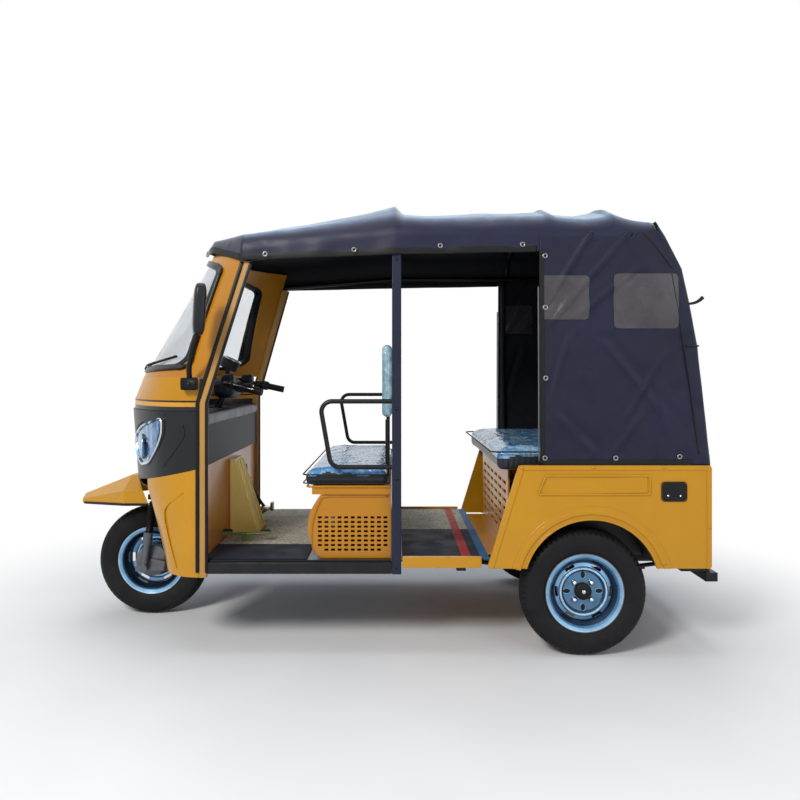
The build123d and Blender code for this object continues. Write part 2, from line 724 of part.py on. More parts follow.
def leaf_arc(half, base):
    """One leaf: its top and bottom arcs share a centre line that rises to the ends."""
    rise = spring_rise * (half / spring_half) ** 2
    low = ThreePointArc((rear_axle_x - half, 0, base + rise), (rear_axle_x, 0, base),
                        (rear_axle_x + half, 0, base + rise))
    high = ThreePointArc((rear_axle_x + half, 0, base + leaf + rise), (rear_axle_x, 0, base + leaf),
                         (rear_axle_x - half, 0, base + leaf + rise))
    ends = [Line(low @ 1, high @ 0), Line(high @ 1, low @ 0)]
    return Pos(0, spring_y, 0) * extrude(make_face([low, high, *ends]), amount=spring_width, dir=(0, 1, 0))


spring = leaf_arc(spring_half * (1 - leaf_step_share * (leaf_count - 1)), spring_seat_z)
for number in range(1, leaf_count):
    share = 1 - leaf_step_share * (leaf_count - 1 - number)
    spring += leaf_arc(spring_half * share, spring_seat_z + leaf * number - fit)
eye_z = spring_seat_z + leaf * (leaf_count - 1) + spring_rise + eye_radius / 2
for end in (-1, 1):
    eye_x = rear_axle_x + end * spring_half
    spring += cross_pin(eye_x, eye_z, eye_radius, spring_y, spring_y + spring_width)
for end in (-1, 1):
    eye_x = rear_axle_x + end * spring_half
    spring -= cross_pin(eye_x, eye_z, eye_pin + fit, spring_y - overrun, spring_y + spring_width + overrun)
hangers = []
for end in (-1, 1):
    eye_x = rear_axle_x + end * spring_half
    hanger = block(eye_x - eye_radius, eye_x + eye_radius, rail_y + rail_width, spring_y - fit,
                   eye_z - eye_radius, floor_foot_z)
    hanger += cross_pin(eye_x, eye_z, eye_pin, rail_y + rail_width, spring_y + spring_width + eye_pin)
    hangers += both(hanger)
save("leaf_springs", *both(spring), *hangers)


# Wheels: one tyre section and one rim section for all three.
bead_radius = bead_diameter / 2
flange_radius = 168
flange_half = 56
rim_seat_half = 46
rim_wall = 4
well_radius = 128
well_half_width = 18
tyre_shoulder_drop = 17
tyre_shoulder_half = 50
tyre_tread_half = 20
tyre_wall_inner_radius = 196
tyre_wall_outer_radius = 232


def turned(points_face, x, y, z):
    """A section in the XY plane turned about the wheel's axle and set in place."""
    return Pos(x, y, z) * revolve(points_face, axis=Axis.Y, revolution_arc=360)


def tyre(x, y, z):
    """A tyre as a few straight bands: bead, side walls, shoulders and tread."""
    half = tyre_width / 2
    outer = [
        (bead_radius, rim_seat_half), (tyre_wall_inner_radius, half), (tyre_wall_outer_radius, half),
        (wheel_radius - tyre_shoulder_drop, tyre_shoulder_half), (wheel_radius, tyre_tread_half),
    ]
    inner = [(radius, -across) for radius, across in reversed(outer)]
    return turned(make_face(Polyline(*outer, *inner, close=True)), x, y, z)


# Rim band, outer surface then inner surface: (radius, across) with across from the wheel's middle.
seat = bead_radius - fit
rim_band = [
    (flange_radius, flange_half), (flange_radius, flange_half - rim_wall),
    (seat, rim_seat_half + fit), (well_radius + rim_wall, well_half_width),
    (well_radius + rim_wall, -well_half_width), (seat, -rim_seat_half - fit),
    (flange_radius, rim_wall - flange_half), (flange_radius, -flange_half),
    (seat - rim_wall, -rim_seat_half - rim_wall), (well_radius, -well_half_width - rim_wall),
    (well_radius, well_half_width + rim_wall), (seat - rim_wall, rim_seat_half + rim_wall),
]
# Pressed disc: a slotted ring, a raised ring and a dished centre. Columns: radius, across.
disc_edge_reach = 20
ring_foot_radius = 108
ring_foot_reach = 26
ring_outer_radius = 102
ring_inner_radius = 96
ring_reach = 34
dish_radius = 84
dish_reach = 18
bore_radius = 34
disc_front = [(well_radius - fit, disc_edge_reach), (ring_foot_radius, ring_foot_reach),
              (ring_outer_radius, ring_reach), (ring_inner_radius, ring_reach),
              (dish_radius, dish_reach), (bore_radius, dish_reach)]
disc_wall = 4
slot_count = 6
slot_radius = 115
slot_length = 44
slot_width = 12
oval_count = 4
oval_radius = 70
oval_length = 32
oval_width = 22
stud_count = 4
stud_radius = 52
nut_radius = 9
nut_height = 12
cap_radius = 35
drum_radius = 98
drum_inner_reach = 63
hub_barrel = 30
hub_barrel_reach = 60


def rim(x, y, z, facing):
    """A pressed steel wheel with its disc facing outwards (facing is 1 or -1 along Y)."""
    band = turned(make_face(Polyline(*rim_band, close=True)), 0, 0, 0)
    back = [(radius, across - disc_wall) for radius, across in reversed(disc_front)]
    disc = turned(make_face(Polyline(*disc_front, *back, close=True)), 0, 0, 0)
    for number in range(slot_count):
        cut = Pos(0, 0, slot_radius) * Box(slot_length, rim_seat_half * 2, slot_width)
        disc -= Rot(0, 360 / slot_count * (number + 1 / 2), 0) * cut
    for number in range(oval_count):
        slot_face = SlotOverall(oval_length, oval_width)
        cut = Rot(0, -90, 90) * extrude(slot_face, amount=rim_seat_half, both=True)
        disc -= Rot(0, 360 / oval_count * number, 0) * (Pos(0, 0, oval_radius) * cut)
    wheel = Compound([*band.solids(), *disc.solids()])
    if facing < 0:
        wheel = mirror(wheel, about=Plane.XZ)
    return Pos(x, y, z) * wheel


def rear_hub(x, y, z, facing):
    """Brake drum behind the disc, its cap through the disc's bore, and the wheel nuts."""
    web = dish_reach - disc_wall - fit
    cap_foot = dish_reach + fit
    cap_top = hub_cap_y - track_half
    spigot = bore_radius - swing_gap
    bore = stub_radius + fit
    hub_face = make_face(Polyline(
        (0, fit), (bore, fit), (bore, -hub_barrel_reach), (hub_barrel, -hub_barrel_reach),
        (hub_barrel, 0), (drum_radius - rim_wall, 0), (drum_radius - rim_wall, -drum_inner_reach),
        (drum_radius, -drum_inner_reach), (drum_radius, web - rim_wall), (drum_radius - disc_wall * 6, web),
        (spigot, web), (spigot, cap_foot), (cap_radius, cap_foot), (cap_radius, cap_top - disc_wall),
        (cap_radius - disc_wall, cap_top), (0, cap_top), close=True))
    pieces = [turned(hub_face, 0, 0, 0)]
    for number in range(stud_count):
        hexagon = Rot(90, 0, 0) * extrude(RegularPolygon(nut_radius, 6), amount=-nut_height)
        nut = Pos(0, dish_reach + fit, stud_radius) * hexagon
        pieces.append(Rot(0, 360 / stud_count * (number + 1 / 2), 0) * nut)
    hub = Compound([s for piece in pieces for s in piece.solids()])
    if facing < 0:
        hub = mirror(hub, about=Plane.XZ)
    return Pos(x, y, z) * hub


for name, side in (("left", -1), ("right", 1)):
    save(f"rear_tyre_{name}", tyre(rear_axle_x, side * track_half, axle_z))
    save(f"rear_rim_{name}", rim(rear_axle_x, side * track_half, axle_z, side),
         rear_hub(rear_axle_x, side * track_half, axle_z, side))

# Front wheel: the same tyre and rim on a narrow hub that holds the brake.
front_hub_half = 52
front_axle_radius = 8
front_drum_radius = 78
save("front_tyre", tyre(front_axle_x, 0, axle_z))
hub_nose = 46
hub_nose_radius = 29
hub_bore = front_axle_radius + fit
hub_face = make_face(Polyline(
    (hub_bore, swing_gap - front_hub_half), (front_drum_radius, swing_gap - front_hub_half),
    (front_drum_radius, dish_reach - disc_wall * 3), (hub_nose_radius * 3 / 2, dish_reach - disc_wall - fit),
    (hub_nose_radius, dish_reach - disc_wall - fit), (hub_nose_radius, hub_nose), (hub_bore, hub_nose),
    close=True))
save("front_rim", rim(front_axle_x, 0, axle_z, 1), turned(hub_face, front_axle_x, 0, axle_z))

# Fork: raked stem, crown and two legs, with leading links and dampers.
crown_z = 590
crown_wall = 24
crown_half = 122
crown_front_behind_front_axle = 4
crown_front_x = front_axle_x + crown_front_behind_front_axle
crown_rear_behind_front_axle = 128
crown_rear_x = front_axle_x + crown_rear_behind_front_axle
leg_y = 100
leg_radius = 16
pivot_behind_front_axle = 96
pivot_x = front_axle_x + pivot_behind_front_axle
pivot_z = 248
bolt_before_front_axle = 56
bolt_x = front_axle_x - bolt_before_front_axle
bolt_z = 232
damper_top_behind_front_axle = 22
damper_top_x = front_axle_x + damper_top_behind_front_axle
damper_foot_before_front_axle = 24
damper_foot_x = front_axle_x - damper_foot_before_front_axle
damper_foot_z = 248
link_inner = 70
link_wall = 11
link_round = 17
bar_radius = 11
fork = block(crown_front_x, crown_rear_x, -crown_half, crown_half, crown_z, crown_z + crown_wall)
fork += rod(on_axis(crown_z), on_axis(bar_clamp_z), stem_radius)
fork -= block(front_axle_x, pillar_x, -crown_half, crown_half, bar_clamp_z, bar_clamp_z + overrun)
for side in (-1, 1):
    leg_top = (pivot_x, side * leg_y, crown_z + crown_wall / 2)
    fork += rod((pivot_x, side * leg_y, pivot_z), leg_top, leg_radius)
    boss_low = min(side * (link_inner + link_wall + fit), side * (leg_y + leg_radius))
    boss_high = max(side * (link_inner + link_wall + fit), side * (leg_y + leg_radius))
    fork += cross_pin(pivot_x, pivot_z, link_round, boss_low, boss_high)
save("fork", fork)

links = []
for side in (-1, 1):
    low = min(side * link_inner, side * (link_inner + link_wall))
    high = low + link_wall
    link = side_plate([(pivot_x + link_round, pivot_z + link_round), (front_axle_x, axle_z + link_round),
                       (bolt_x - link_round, bolt_z + link_round), (bolt_x - link_round, bolt_z - link_round / 2),
                       (pivot_x + link_round, pivot_z - link_round)], low, high)
    links.append(link)
front_axle = cross_pin(front_axle_x, axle_z, front_axle_radius, -link_inner - link_wall,
                       link_inner + link_wall)
axle_bore = cross_pin(front_axle_x, axle_z, front_axle_radius + fit / 2, -crown_half, crown_half)
links = [link - axle_bore for link in links]

brake_plate_face = make_face(Polyline(
    (front_axle_radius + fit, front_hub_half), (front_drum_radius, front_hub_half),
    (front_drum_radius, front_hub_half + rim_wall), (front_axle_radius + link_wall, link_inner - fit),
    (front_axle_radius + fit, link_inner - fit), close=True))
brake_plate = mirror(turned(brake_plate_face, front_axle_x, 0, axle_z), about=Plane.XZ)
save("leading_links", *links, front_axle, brake_plate)

rod_radius = 9
body_radius = 17
cap_ring_radius = 23
damper_eye = 21
damper_mid_z = 425
cap_low_z = 365
damper_y = leg_y


def damper_point(z):
    share = (z - damper_foot_z) / (crown_z - damper_foot_z)
    return (damper_foot_x + (damper_top_x - damper_foot_x) * share, damper_y, z)


damper_rod = rod(damper_point(damper_mid_z + fit), damper_point(crown_z), rod_radius)
damper_rod &= block(pillar_x - wheelbase, pillar_x, 0, body_half, 0, crown_z - fit)
damper_body = rod(damper_point(damper_foot_z), damper_point(cap_low_z), body_radius)
damper_body += rod(damper_point(cap_low_z), damper_point(damper_mid_z), cap_ring_radius)
damper_body += cross_pin(damper_foot_x, damper_foot_z, damper_eye, link_inner + link_wall + fit,
                         damper_y + damper_eye)
save("front_dampers", *both(damper_rod), *both(damper_body))

# Handlebar: swept back ends with grips, clamped on the stem.
grip_half = 330
grip_behind_front_axle = 590
grip_x = front_axle_x + grip_behind_front_axle
grip_z = 1128
elbow_half = 305
elbow_behind_front_axle = 430
elbow_x = front_axle_x + elbow_behind_front_axle
elbow_z = 1164
clamp_half = 105
clamp_x = steer_top_x
bar_z = bar_clamp_z + bar_radius + stem_radius / 2
bar_bend = 42
grip_radius = 17
grip_length = 112
bar_points = [
    (grip_x, -grip_half, grip_z), (elbow_x, -elbow_half, elbow_z), (clamp_x, -clamp_half, bar_z),
    (clamp_x, clamp_half, bar_z), (elbow_x, elbow_half, elbow_z), (grip_x, grip_half, grip_z),
]
clamp_block = block(clamp_x - bar_radius * 2, clamp_x + bar_radius * 2, -bar_radius * 3, bar_radius * 3,
                    bar_clamp_z + fit, bar_z + bar_radius * 2)
bar = bent_tube(bar_points, bar_bend, bar_radius) + clamp_block
grip_start, grip_way = Vector(*bar_points[-1]), Vector(*bar_points[-2]) - Vector(*bar_points[-1])
grip_tip = grip_start + grip_way.normalized() * -grip_radius
grip_end = grip_start + grip_way.normalized() * grip_length
grip = rod(tuple(grip_tip), tuple(grip_end), grip_radius)
grip -= rod(tuple(grip_start - grip_way.normalized() * fit), tuple(grip_end + grip_way), bar_radius + fit)
save("grips", *both(grip))

gauge_radius = 48
gauge_depth = 52
gauge_foot = (clamp_x, 0, bar_z + bar_radius * 2 + fit)
gauge_tilt = (sin(rake), 0, cos(rake))
gauge = block(clamp_x - bar_radius, clamp_x + bar_radius, -bar_radius, bar_radius,
              bar_z + bar_radius * 2 + fit, bar_z + bar_radius * 4 + gauge_radius / 2 + overrun)
gauge += Solid.make_cylinder(gauge_radius, gauge_depth, Plane(
    origin=(clamp_x, 0, bar_z + bar_radius * 4 + gauge_radius / 2), z_dir=gauge_tilt))

lever_radius = 5
bar_way = grip_way.normalized()
perch = rod(tuple(grip_end + bar_way * fit), tuple(grip_end + bar_way * grip_radius * 2), grip_radius)
perch -= rod(tuple(grip_end - grip_way), tuple(grip_end + grip_way * 2), bar_radius + fit)
lever_start = grip_end + bar_way * grip_radius
blade_offset = Vector(0, grip_radius * 2, 0)
blade = rod(tuple(lever_start), tuple(lever_start + blade_offset), lever_radius * 2)
blade += rod(tuple(lever_start + blade_offset),
             tuple(lever_start + blade_offset - bar_way * grip_length), lever_radius)
blade -= rod(tuple(grip_end - grip_way), tuple(grip_end + grip_way * 2), bar_radius + fit)
save("handlebar", bar, gauge, *both(perch + blade))

# Driver's bench: a bowed seat box with perforated sides, a pan, a cushion and a backrest.
bench_half = 555
bench_wall = 6
bench_top_z = 687
bench_bulge = 60
bench_mid_z = 505
pan_rim = 36
cushion_overhang = 29
bench_foot_z = floor_height + fit


def bench_outline(inset):
    front = bench_front_x + inset
    top, foot = bench_top_z - inset, bench_foot_z
    rear = bench_rear_x - inset
    edges = [
        ThreePointArc((front + bench_bulge, 0, top), (front, 0, bench_mid_z),
                      (front + bench_bulge - bench_wall, 0, foot)),
        Line((front + bench_bulge - bench_wall, 0, foot), (rear, 0, foot)),
        Line((rear, 0, foot), (rear, 0, top)),
        Line((rear, 0, top), (front + bench_bulge, 0, top)),
    ]
    return make_face(edges)


box_skin = Pos(0, -bench_half + bench_wall + fit, 0) * extrude(
    bench_outline(0), amount=2 * (bench_half - bench_wall - fit), dir=(0, 1, 0))
box_skin -= Pos(0, -bench_half, 0) * extrude(bench_outline(bench_wall), amount=2 * bench_half, dir=(0, 1, 0))
box_skin -= block(engine_front_x, bench_rear_x - bench_wall, -bench_half, bench_half,
                  bench_foot_z - overrun, bench_foot_z + bench_wall)

# Grille: rows and columns of slots through each side of the seat box.
hole_columns = 11
hole_rows = 8
hole_length = 17
hole_height = 10
column_pitch = 28.5
row_pitch = 20
grille_margin = 48
grille_rise = 36
grille_first_x = bench_front_x + grille_margin
grille_first_z = floor_height + grille_rise
side_sheet = Pos(0, bench_half - bench_wall, 0) * extrude(bench_outline(0), amount=bench_wall, dir=(0, 1, 0))
holes = []
for row in range(hole_rows):
    skipped = 1 if row == 0 else 0
    for column in range(skipped, hole_columns - skipped):
        hole_x = grille_first_x + column * column_pitch
        hole_z = grille_first_z + row * row_pitch
        hole = Box(hole_length, bench_wall * 2, hole_height)
        holes.append(Pos(hole_x, bench_half - bench_wall / 2, hole_z) * hole)
side_sheet -= holes

pan_top_z = bench_top_z + pan_rim
seat_pan = block(bench_front_x + cushion_overhang / 2, bench_rear_x, -bench_half - panel,
                 bench_half + panel, bench_top_z + fit, pan_top_z)
save("driver_seat_box", box_skin, *both(side_sheet), seat_pan)
cushion_height = 78
cushion = block(bench_front_x - cushion_overhang, bench_rear_x, -bench_half - panel, bench_half + panel,
                pan_top_z + fit, pan_top_z + cushion_height)
cushion_round = 14
rest_half = 260
rest_front_before_pillar = 52
rest_front_x = pillar_x - rest_front_before_pillar
rest_wall = 56
rest_foot_z = 990
rest_top_z = 1363
rest_post_y = 190
rest_post_radius = 10
rest_mid_x = rest_front_x + rest_wall / 2
rest_tubes = []
for tube in both(rod((rest_mid_x, rest_post_y, pan_top_z + fit), (rest_mid_x, rest_post_y, rest_foot_z - fit),
                     rest_post_radius)):
    rest_tubes.append(tube)
for tube_y in (-rest_post_y, rest_post_y):
    cushion -= rod((rest_mid_x, tube_y, pan_top_z - overrun), (rest_mid_x, tube_y, rest_foot_z),
                   rest_post_radius + fit)
save("driver_cushion", cushion)
backrest = block(rest_front_x, rest_front_x + rest_wall, -rest_half, rest_half, rest_foot_z, rest_top_z)
save("driver_backrest", fillet(backrest.edges().filter_by(Axis.X), cushion_round * 3))

# B pillars and the grab rails that stand beside the driver.
rail_tube = 11
rail_below_crown = 208
roof_rail_z = roof_height - rail_below_crown
pillar_foot_z = 351
pillar_head_gap = 3
save("b_pillars", *both(block(pillar_x, pillar_x + pillar_size, sill_inner, sill_half, pillar_foot_z,
                              roof_rail_z - rail_tube - pillar_head_gap)))
grab_y = sill_half - pillar_size / 2
grab_top_z = 1091
grab_foot_z = 808
grab_front_before_pillar = 312
grab_front_x = pillar_x - grab_front_before_pillar
grab_lower_before_pillar = 262
grab_lower_x = pillar_x - grab_lower_before_pillar
grab_bend = 45
grab_radius = 10
grab = bent_tube([(pillar_x - fit, grab_y, grab_top_z), (grab_front_x, grab_y, grab_top_z),
                  (grab_lower_x, grab_y, grab_foot_z), (pillar_x - fit, grab_y, grab_foot_z)],
                 grab_bend, grab_radius)
save("grab_rails", *both(grab), *rest_tubes)

# Canopy: roof sections from the windscreen header to the rear slope.
# Columns: station, half width, valance foot, eave, crown, shoulder radius.
crown_rise = 178
valance_drop = 63
side_foot_drop = 78
eave_z = roof_height - crown_rise
valance_z = eave_z - valance_drop
eave_half = 612
roof_corner = 100
tail_drop = 18
tail_crown_drop = 106
tail_draw_in = 4
tail_corner = 84
peak_before_head = 24
peak_half = 156
peak_corner = 18
peak_rise = 24
peak_foot_z = screen_head_z - cloth
peak_crown_z = screen_head_z + peak_rise
brow_behind_head = 59
brow_half = 360
brow_corner = 56
brow_foot_drop = 29
brow_eave_drop = 23
brow_crown_drop = 131
temple_behind_head = 234
temple_half = 574
temple_corner = 90
temple_foot_drop = 98
temple_eave_drop = 60
temple_crown_drop = 94
bow_station_behind_pillar = 13
bow_station_behind_axle = 123
roof_rear_behind_rear_axle = 307
roof_rear_x = rear_axle_x + roof_rear_behind_rear_axle
roof_sections = [
    (screen_head_nose - peak_before_head, peak_half, peak_foot_z, screen_head_z, peak_crown_z, peak_corner),
    (screen_head_nose + brow_behind_head, brow_half, eave_z - brow_foot_drop, eave_z - brow_eave_drop,
     roof_height - brow_crown_drop, brow_corner),
    (screen_head_nose + temple_behind_head, temple_half, eave_z - temple_foot_drop,
     eave_z - temple_eave_drop, roof_height - temple_crown_drop, temple_corner),
    (pillar_x + bow_station_behind_pillar, eave_half, eave_z - side_foot_drop, eave_z, roof_height,
     roof_corner),
    (rear_axle_x + bow_station_behind_axle, eave_half, valance_z, eave_z, roof_height, roof_corner),
    (roof_rear_x, eave_half - tail_draw_in, valance_z, eave_z - tail_drop, roof_height - tail_crown_drop,
     tail_corner),
]


def roof_layer(inset, sink=0, ahead=0, behind=0):
    """The canopy's outline drawn in by inset, its legs run on below and its ends run on."""
    rows = list(roof_sections)
    if ahead:
        rows.insert(0, (rows[0][0] - ahead, *rows[0][1:]))
    if behind:
        rows.append((rows[-1][0] + behind, *rows[-1][1:]))
    faces = [
        arch_face(half - inset, crown - eave - inset, corner - inset, eave - foot + sink,
                  lambda u, v, x=x, eave=eave: (x, u, eave + v))
        for x, half, foot, eave, crown, corner in rows
    ]
    return loft(faces, ruled=True)


save("canopy_roof", roof_layer(0) - roof_layer(cloth, overrun, overrun, overrun))

# Roof frame: rails along the eaves and bows across them.
bow_inset = cloth + rail_tube + fit
rail_line_y = eave_half - bow_inset
mid_bow_before_axle = 150
rear_bow_behind_axle = 108
bow_stations = [pillar_x + pillar_size / 2, rear_axle_x - mid_bow_before_axle,
                rear_axle_x + rear_bow_behind_axle]
rail_bend = 300
rail_start_y = post_top_half - post_depth / 2
rail_start = (post_front_at(post_top_z) + post_size / 2, rail_start_y, post_top_z + rail_tube + fit)
roof_rail = bent_tube([rail_start,
                       (roof_sections[3][0], rail_line_y, roof_rail_z),
                       (roof_sections[4][0], rail_line_y, roof_rail_z),
                       (roof_rear_x - overrun, rail_line_y - swing_gap, roof_rail_z)], rail_bend, rail_tube)
bows = []
bow_foot = eave_z - roof_rail_z - rail_tube - fit
for x in bow_stations:
    arcs = arch_edges(eave_half - bow_inset, crown_rise - bow_inset, roof_corner - bow_inset,
                      lambda u, v, x=x: (x, u, eave_z + v))
    low_left, low_right = (x, -rail_line_y, eave_z - bow_foot), (x, rail_line_y, eave_z - bow_foot)
    legs = [Line(low_left, (x, -rail_line_y, eave_z)), Line((x, rail_line_y, eave_z), low_right)]
    path = Wire([legs[0], *arcs, legs[1]])
    bows.append(sweep(Plane(origin=path @ 0, z_dir=path % 0) * Circle(rail_tube), path=path))

# Rear tub: side panels with embossed arches, wheel housings and the rear frame.
side_wall = 10
emboss = 4
arch_behind_rear_axle = 23
arch_x = rear_axle_x + arch_behind_rear_axle
arch_z = 303
arch_radius = 287
lip = 9
band_inner = 316
band_outer = 345
panel_outer = body_half - emboss
panel_inner = panel_outer - side_wall
tub_corner = 14
tub_points = [(tub_foot_x, tub_foot_z), (tub_front_x, tub_height),
              (tub_rear_x, tub_height), (tub_rear_x, tub_foot_z)]
tub_side = side_plate(tub_points, panel_inner, panel_outer, tub_corner)
tub_edge = side_plate(tub_points, panel_inner, body_half, tub_corner)
band = (cross_pin(arch_x, arch_z, band_outer, panel_inner, body_half)
        - cross_pin(arch_x, arch_z, band_inner, 0, body_width))
arch_lip = cross_pin(arch_x, arch_z, arch_radius + lip, panel_inner, body_half)
flange_width = 20
flange_cut = side_plate([
    (tub_foot_x + flange_width, tub_foot_z - overrun), (tub_front_x + flange_width, tub_height - flange_width),
    (tub_rear_x - flange_width, tub_height - flange_width), (tub_rear_x - flange_width, tub_foot_z - overrun),
], panel_outer, body_half + overrun)
tub_side += (band + arch_lip) & tub_edge
tub_side += tub_edge - flange_cut
# Crease above the arch. Columns: share of the arch radius, share of the depth below the tub's top.
crease_depth = 123
crease_shares = [(-0.735, 1), (-0.662, 0.488), (0.812, 0.374), (0.812, 0.943)]
crease_points = [(arch_x + arch_radius * along_share, tub_height - crease_depth * depth_share)
                 for along_share, depth_share in crease_shares]
crease = side_plate(crease_points, panel_inner, panel_outer + emboss / 2, tub_corner / 2)
tub_side += crease
tub_side -= cross_pin(arch_x, arch_z, arch_radius, 0, body_width)
filler_x0_behind_rear_axle = 316
filler_x0 = rear_axle_x + filler_x0_behind_rear_axle
filler_x1_behind_rear_axle = 422
filler_x1 = rear_axle_x + filler_x1_behind_rear_axle
filler_drop = 70
filler_height = 81
filler_z1 = tub_height - filler_drop
filler_z0 = filler_z1 - filler_height
save("tub_side_right", tub_side)
filler_points = [(filler_x0, filler_z0), (filler_x1, filler_z0),
                 (filler_x1, filler_z1), (filler_x0, filler_z1)]
filler = side_plate(filler_points, -panel_outer - emboss, -panel_outer - fit, tub_corner)
save("tub_side_left", mirror(tub_side, about=Plane.XZ), filler)

housing_wall = 6
housing_radius = arch_radius + lip
housing = cross_pin(arch_x, arch_z, housing_radius, housing_inner_y, panel_inner - fit)
housing -= cross_pin(arch_x, arch_z, housing_radius - housing_wall, housing_inner_y + housing_wall, body_half)
housing &= block(arch_x - body_half, arch_x + body_half, 0, body_half, floor_foot_z, tub_height)
save("wheel_housings", *both(housing))

door_half = 440
door_sill = 47
door_header = 30
door_foot_z = tub_foot_z + door_sill
door_top_z = tub_height - door_header
door_gap = 5
door_wall = 10
frame_front_x = tub_rear_x - rear_wall
rear_frame = block(frame_front_x, tub_rear_x, -panel_inner + fit, panel_inner - fit, tub_foot_z, tub_height)
rear_frame -= block(frame_front_x - overrun, tub_rear_x + overrun, -door_half, door_half,
                    door_foot_z, door_top_z)

# Tailgate: an overlapping door, hinged on the left, with two knuckles.
tail_lap = 14
hinge_radius = 8
hinge_length = 60
hinge_x = tub_rear_x + door_gap + hinge_radius
hinge_y = -door_half - tail_lap - hinge_radius
door_x0 = tub_rear_x + door_gap
door = block(door_x0, door_x0 + door_wall, -door_half - tail_lap, door_half + tail_lap,
             door_foot_z - tail_lap, door_top_z + tail_lap)
door = fillet(door.edges().filter_by(Axis.X), tub_corner)
press_margin = 60
door += block(door_x0, door_x0 + door_wall + emboss, -door_half + press_margin, door_half - press_margin,
              door_foot_z + press_margin, door_top_z - press_margin)
hinge_heights = (door_foot_z + press_margin, door_top_z - press_margin)
leaves = []
for z in hinge_heights:
    door += Solid.make_cylinder(hinge_radius, hinge_length / 2, Plane(origin=(hinge_x, hinge_y, z)))
    door += block(hinge_x - hinge_radius / 2, hinge_x + hinge_radius / 2, hinge_y, -door_half,
                  z, z + hinge_length / 2)
    knuckle_foot = (hinge_x, hinge_y, z - hinge_length / 2 - fit)
    knuckle = Solid.make_cylinder(hinge_radius, hinge_length / 2, Plane(origin=knuckle_foot))
    knuckle += block(tub_rear_x + fit, hinge_x, hinge_y - hinge_radius * 4, hinge_y,
                     z - hinge_length / 2 - fit, z - fit)
    leaves.append(knuckle)
handle_y = door_half - press_margin / 2
handle_reach = 32
handle_length = 120
handle_rise = 8
handle_bend = 14
handle_radius = 6
handle_foot_x = door_x0 + door_wall + fit
handle_far_x = door_x0 + door_wall + handle_reach
handle_low_z = (door_foot_z + door_top_z - handle_length) / 2 + handle_rise
handle_high_z = handle_low_z + handle_length
handle = bent_tube([(handle_foot_x, handle_y, handle_low_z), (handle_far_x, handle_y, handle_low_z),
                    (handle_far_x, handle_y, handle_high_z), (handle_foot_x, handle_y, handle_high_z)],
                   handle_bend, handle_radius)
save("tailgate", door, handle)
save("rear_frame", rear_frame, *leaves)

lamp_width = 78
lamp_drop = 62
lamp_height = 200
lamp_high_z = tub_height - lamp_drop
lamp_low_z = lamp_high_z - lamp_height
tail_lamp_depth = 24
tail_lamp_outset = 6
tail_lamp_y = (door_half + tail_lap + panel_inner) / 2 + tail_lamp_outset
tail_lamp = block(tub_rear_x + fit, tub_rear_x + tail_lamp_depth, tail_lamp_y - lamp_width / 2,
                  tail_lamp_y + lamp_width / 2, lamp_low_z, lamp_high_z)
tail_lamp = fillet(tail_lamp.edges().filter_by(Axis.X), tub_corner)
save("tail_lamps", *both(tail_lamp))

# Rear cover: a hood of sheet from the tub up to the canopy. Columns: height, half width, rear face.
cover_front_station_before_rear_axle = 194
cover_front_station = rear_axle_x - cover_front_station_before_rear_axle
hood_corner = 80
hood_rear_gap = 2
hood_waist_lean = 49
hood_shoulder_lean = 113
hood_waist_share = 0.5153
hood_shoulder_share = 0.8558


def hood_height(share):
    """A height between the tub's top and the eaves."""
    return tub_height + (eave_z - tub_height) * share


hood_waist_z = hood_height(hood_waist_share)
hood_shoulder_z = hood_height(hood_shoulder_share)
hood_sections = [
    (tub_height + fit, body_half - cloth, tub_rear_x - hood_rear_gap),
    (hood_waist_z, body_half - cloth * 2, tub_rear_x - hood_waist_lean),
    (hood_shoulder_z, body_half - cloth * 4, tub_rear_x - hood_shoulder_lean),
    (roof_height - tail_crown_drop, eave_half - cloth, roof_rear_x + fit),
]


def hood_layer(inset, low=0, high=0, ahead=0):
    """The rear cover's outline as plan sections with two rounded rear corners."""
    rows = list(hood_sections)
    if low:
        rows.insert(0, (rows[0][0] - low, *rows[0][1:]))
    if high:
        rows.append((rows[-1][0] + high, *rows[-1][1:]))
    turn = radians(45)
    faces = []
    for z, half, rear in rows:
        front = cover_front_station - ahead
        half, rear, corner = half - inset, rear - inset, hood_corner - inset
        back_x, side_y = rear - corner, half - corner
        mid_x, mid_y = back_x + corner * cos(turn), side_y + corner * sin(turn)
        edges = [
            Line((front, -half, z), (back_x, -half, z)),
            ThreePointArc((back_x, -half, z), (mid_x, -mid_y, z), (rear, -side_y, z)),
            Line((rear, -side_y, z), (rear, side_y, z)),
            ThreePointArc((rear, side_y, z), (mid_x, mid_y, z), (back_x, half, z)),
            Line((back_x, half, z), (front, half, z)),
            Line((front, half, z), (front, -half, z)),
        ]
        faces.append(make_face(edges))
    return loft(faces, ruled=True)


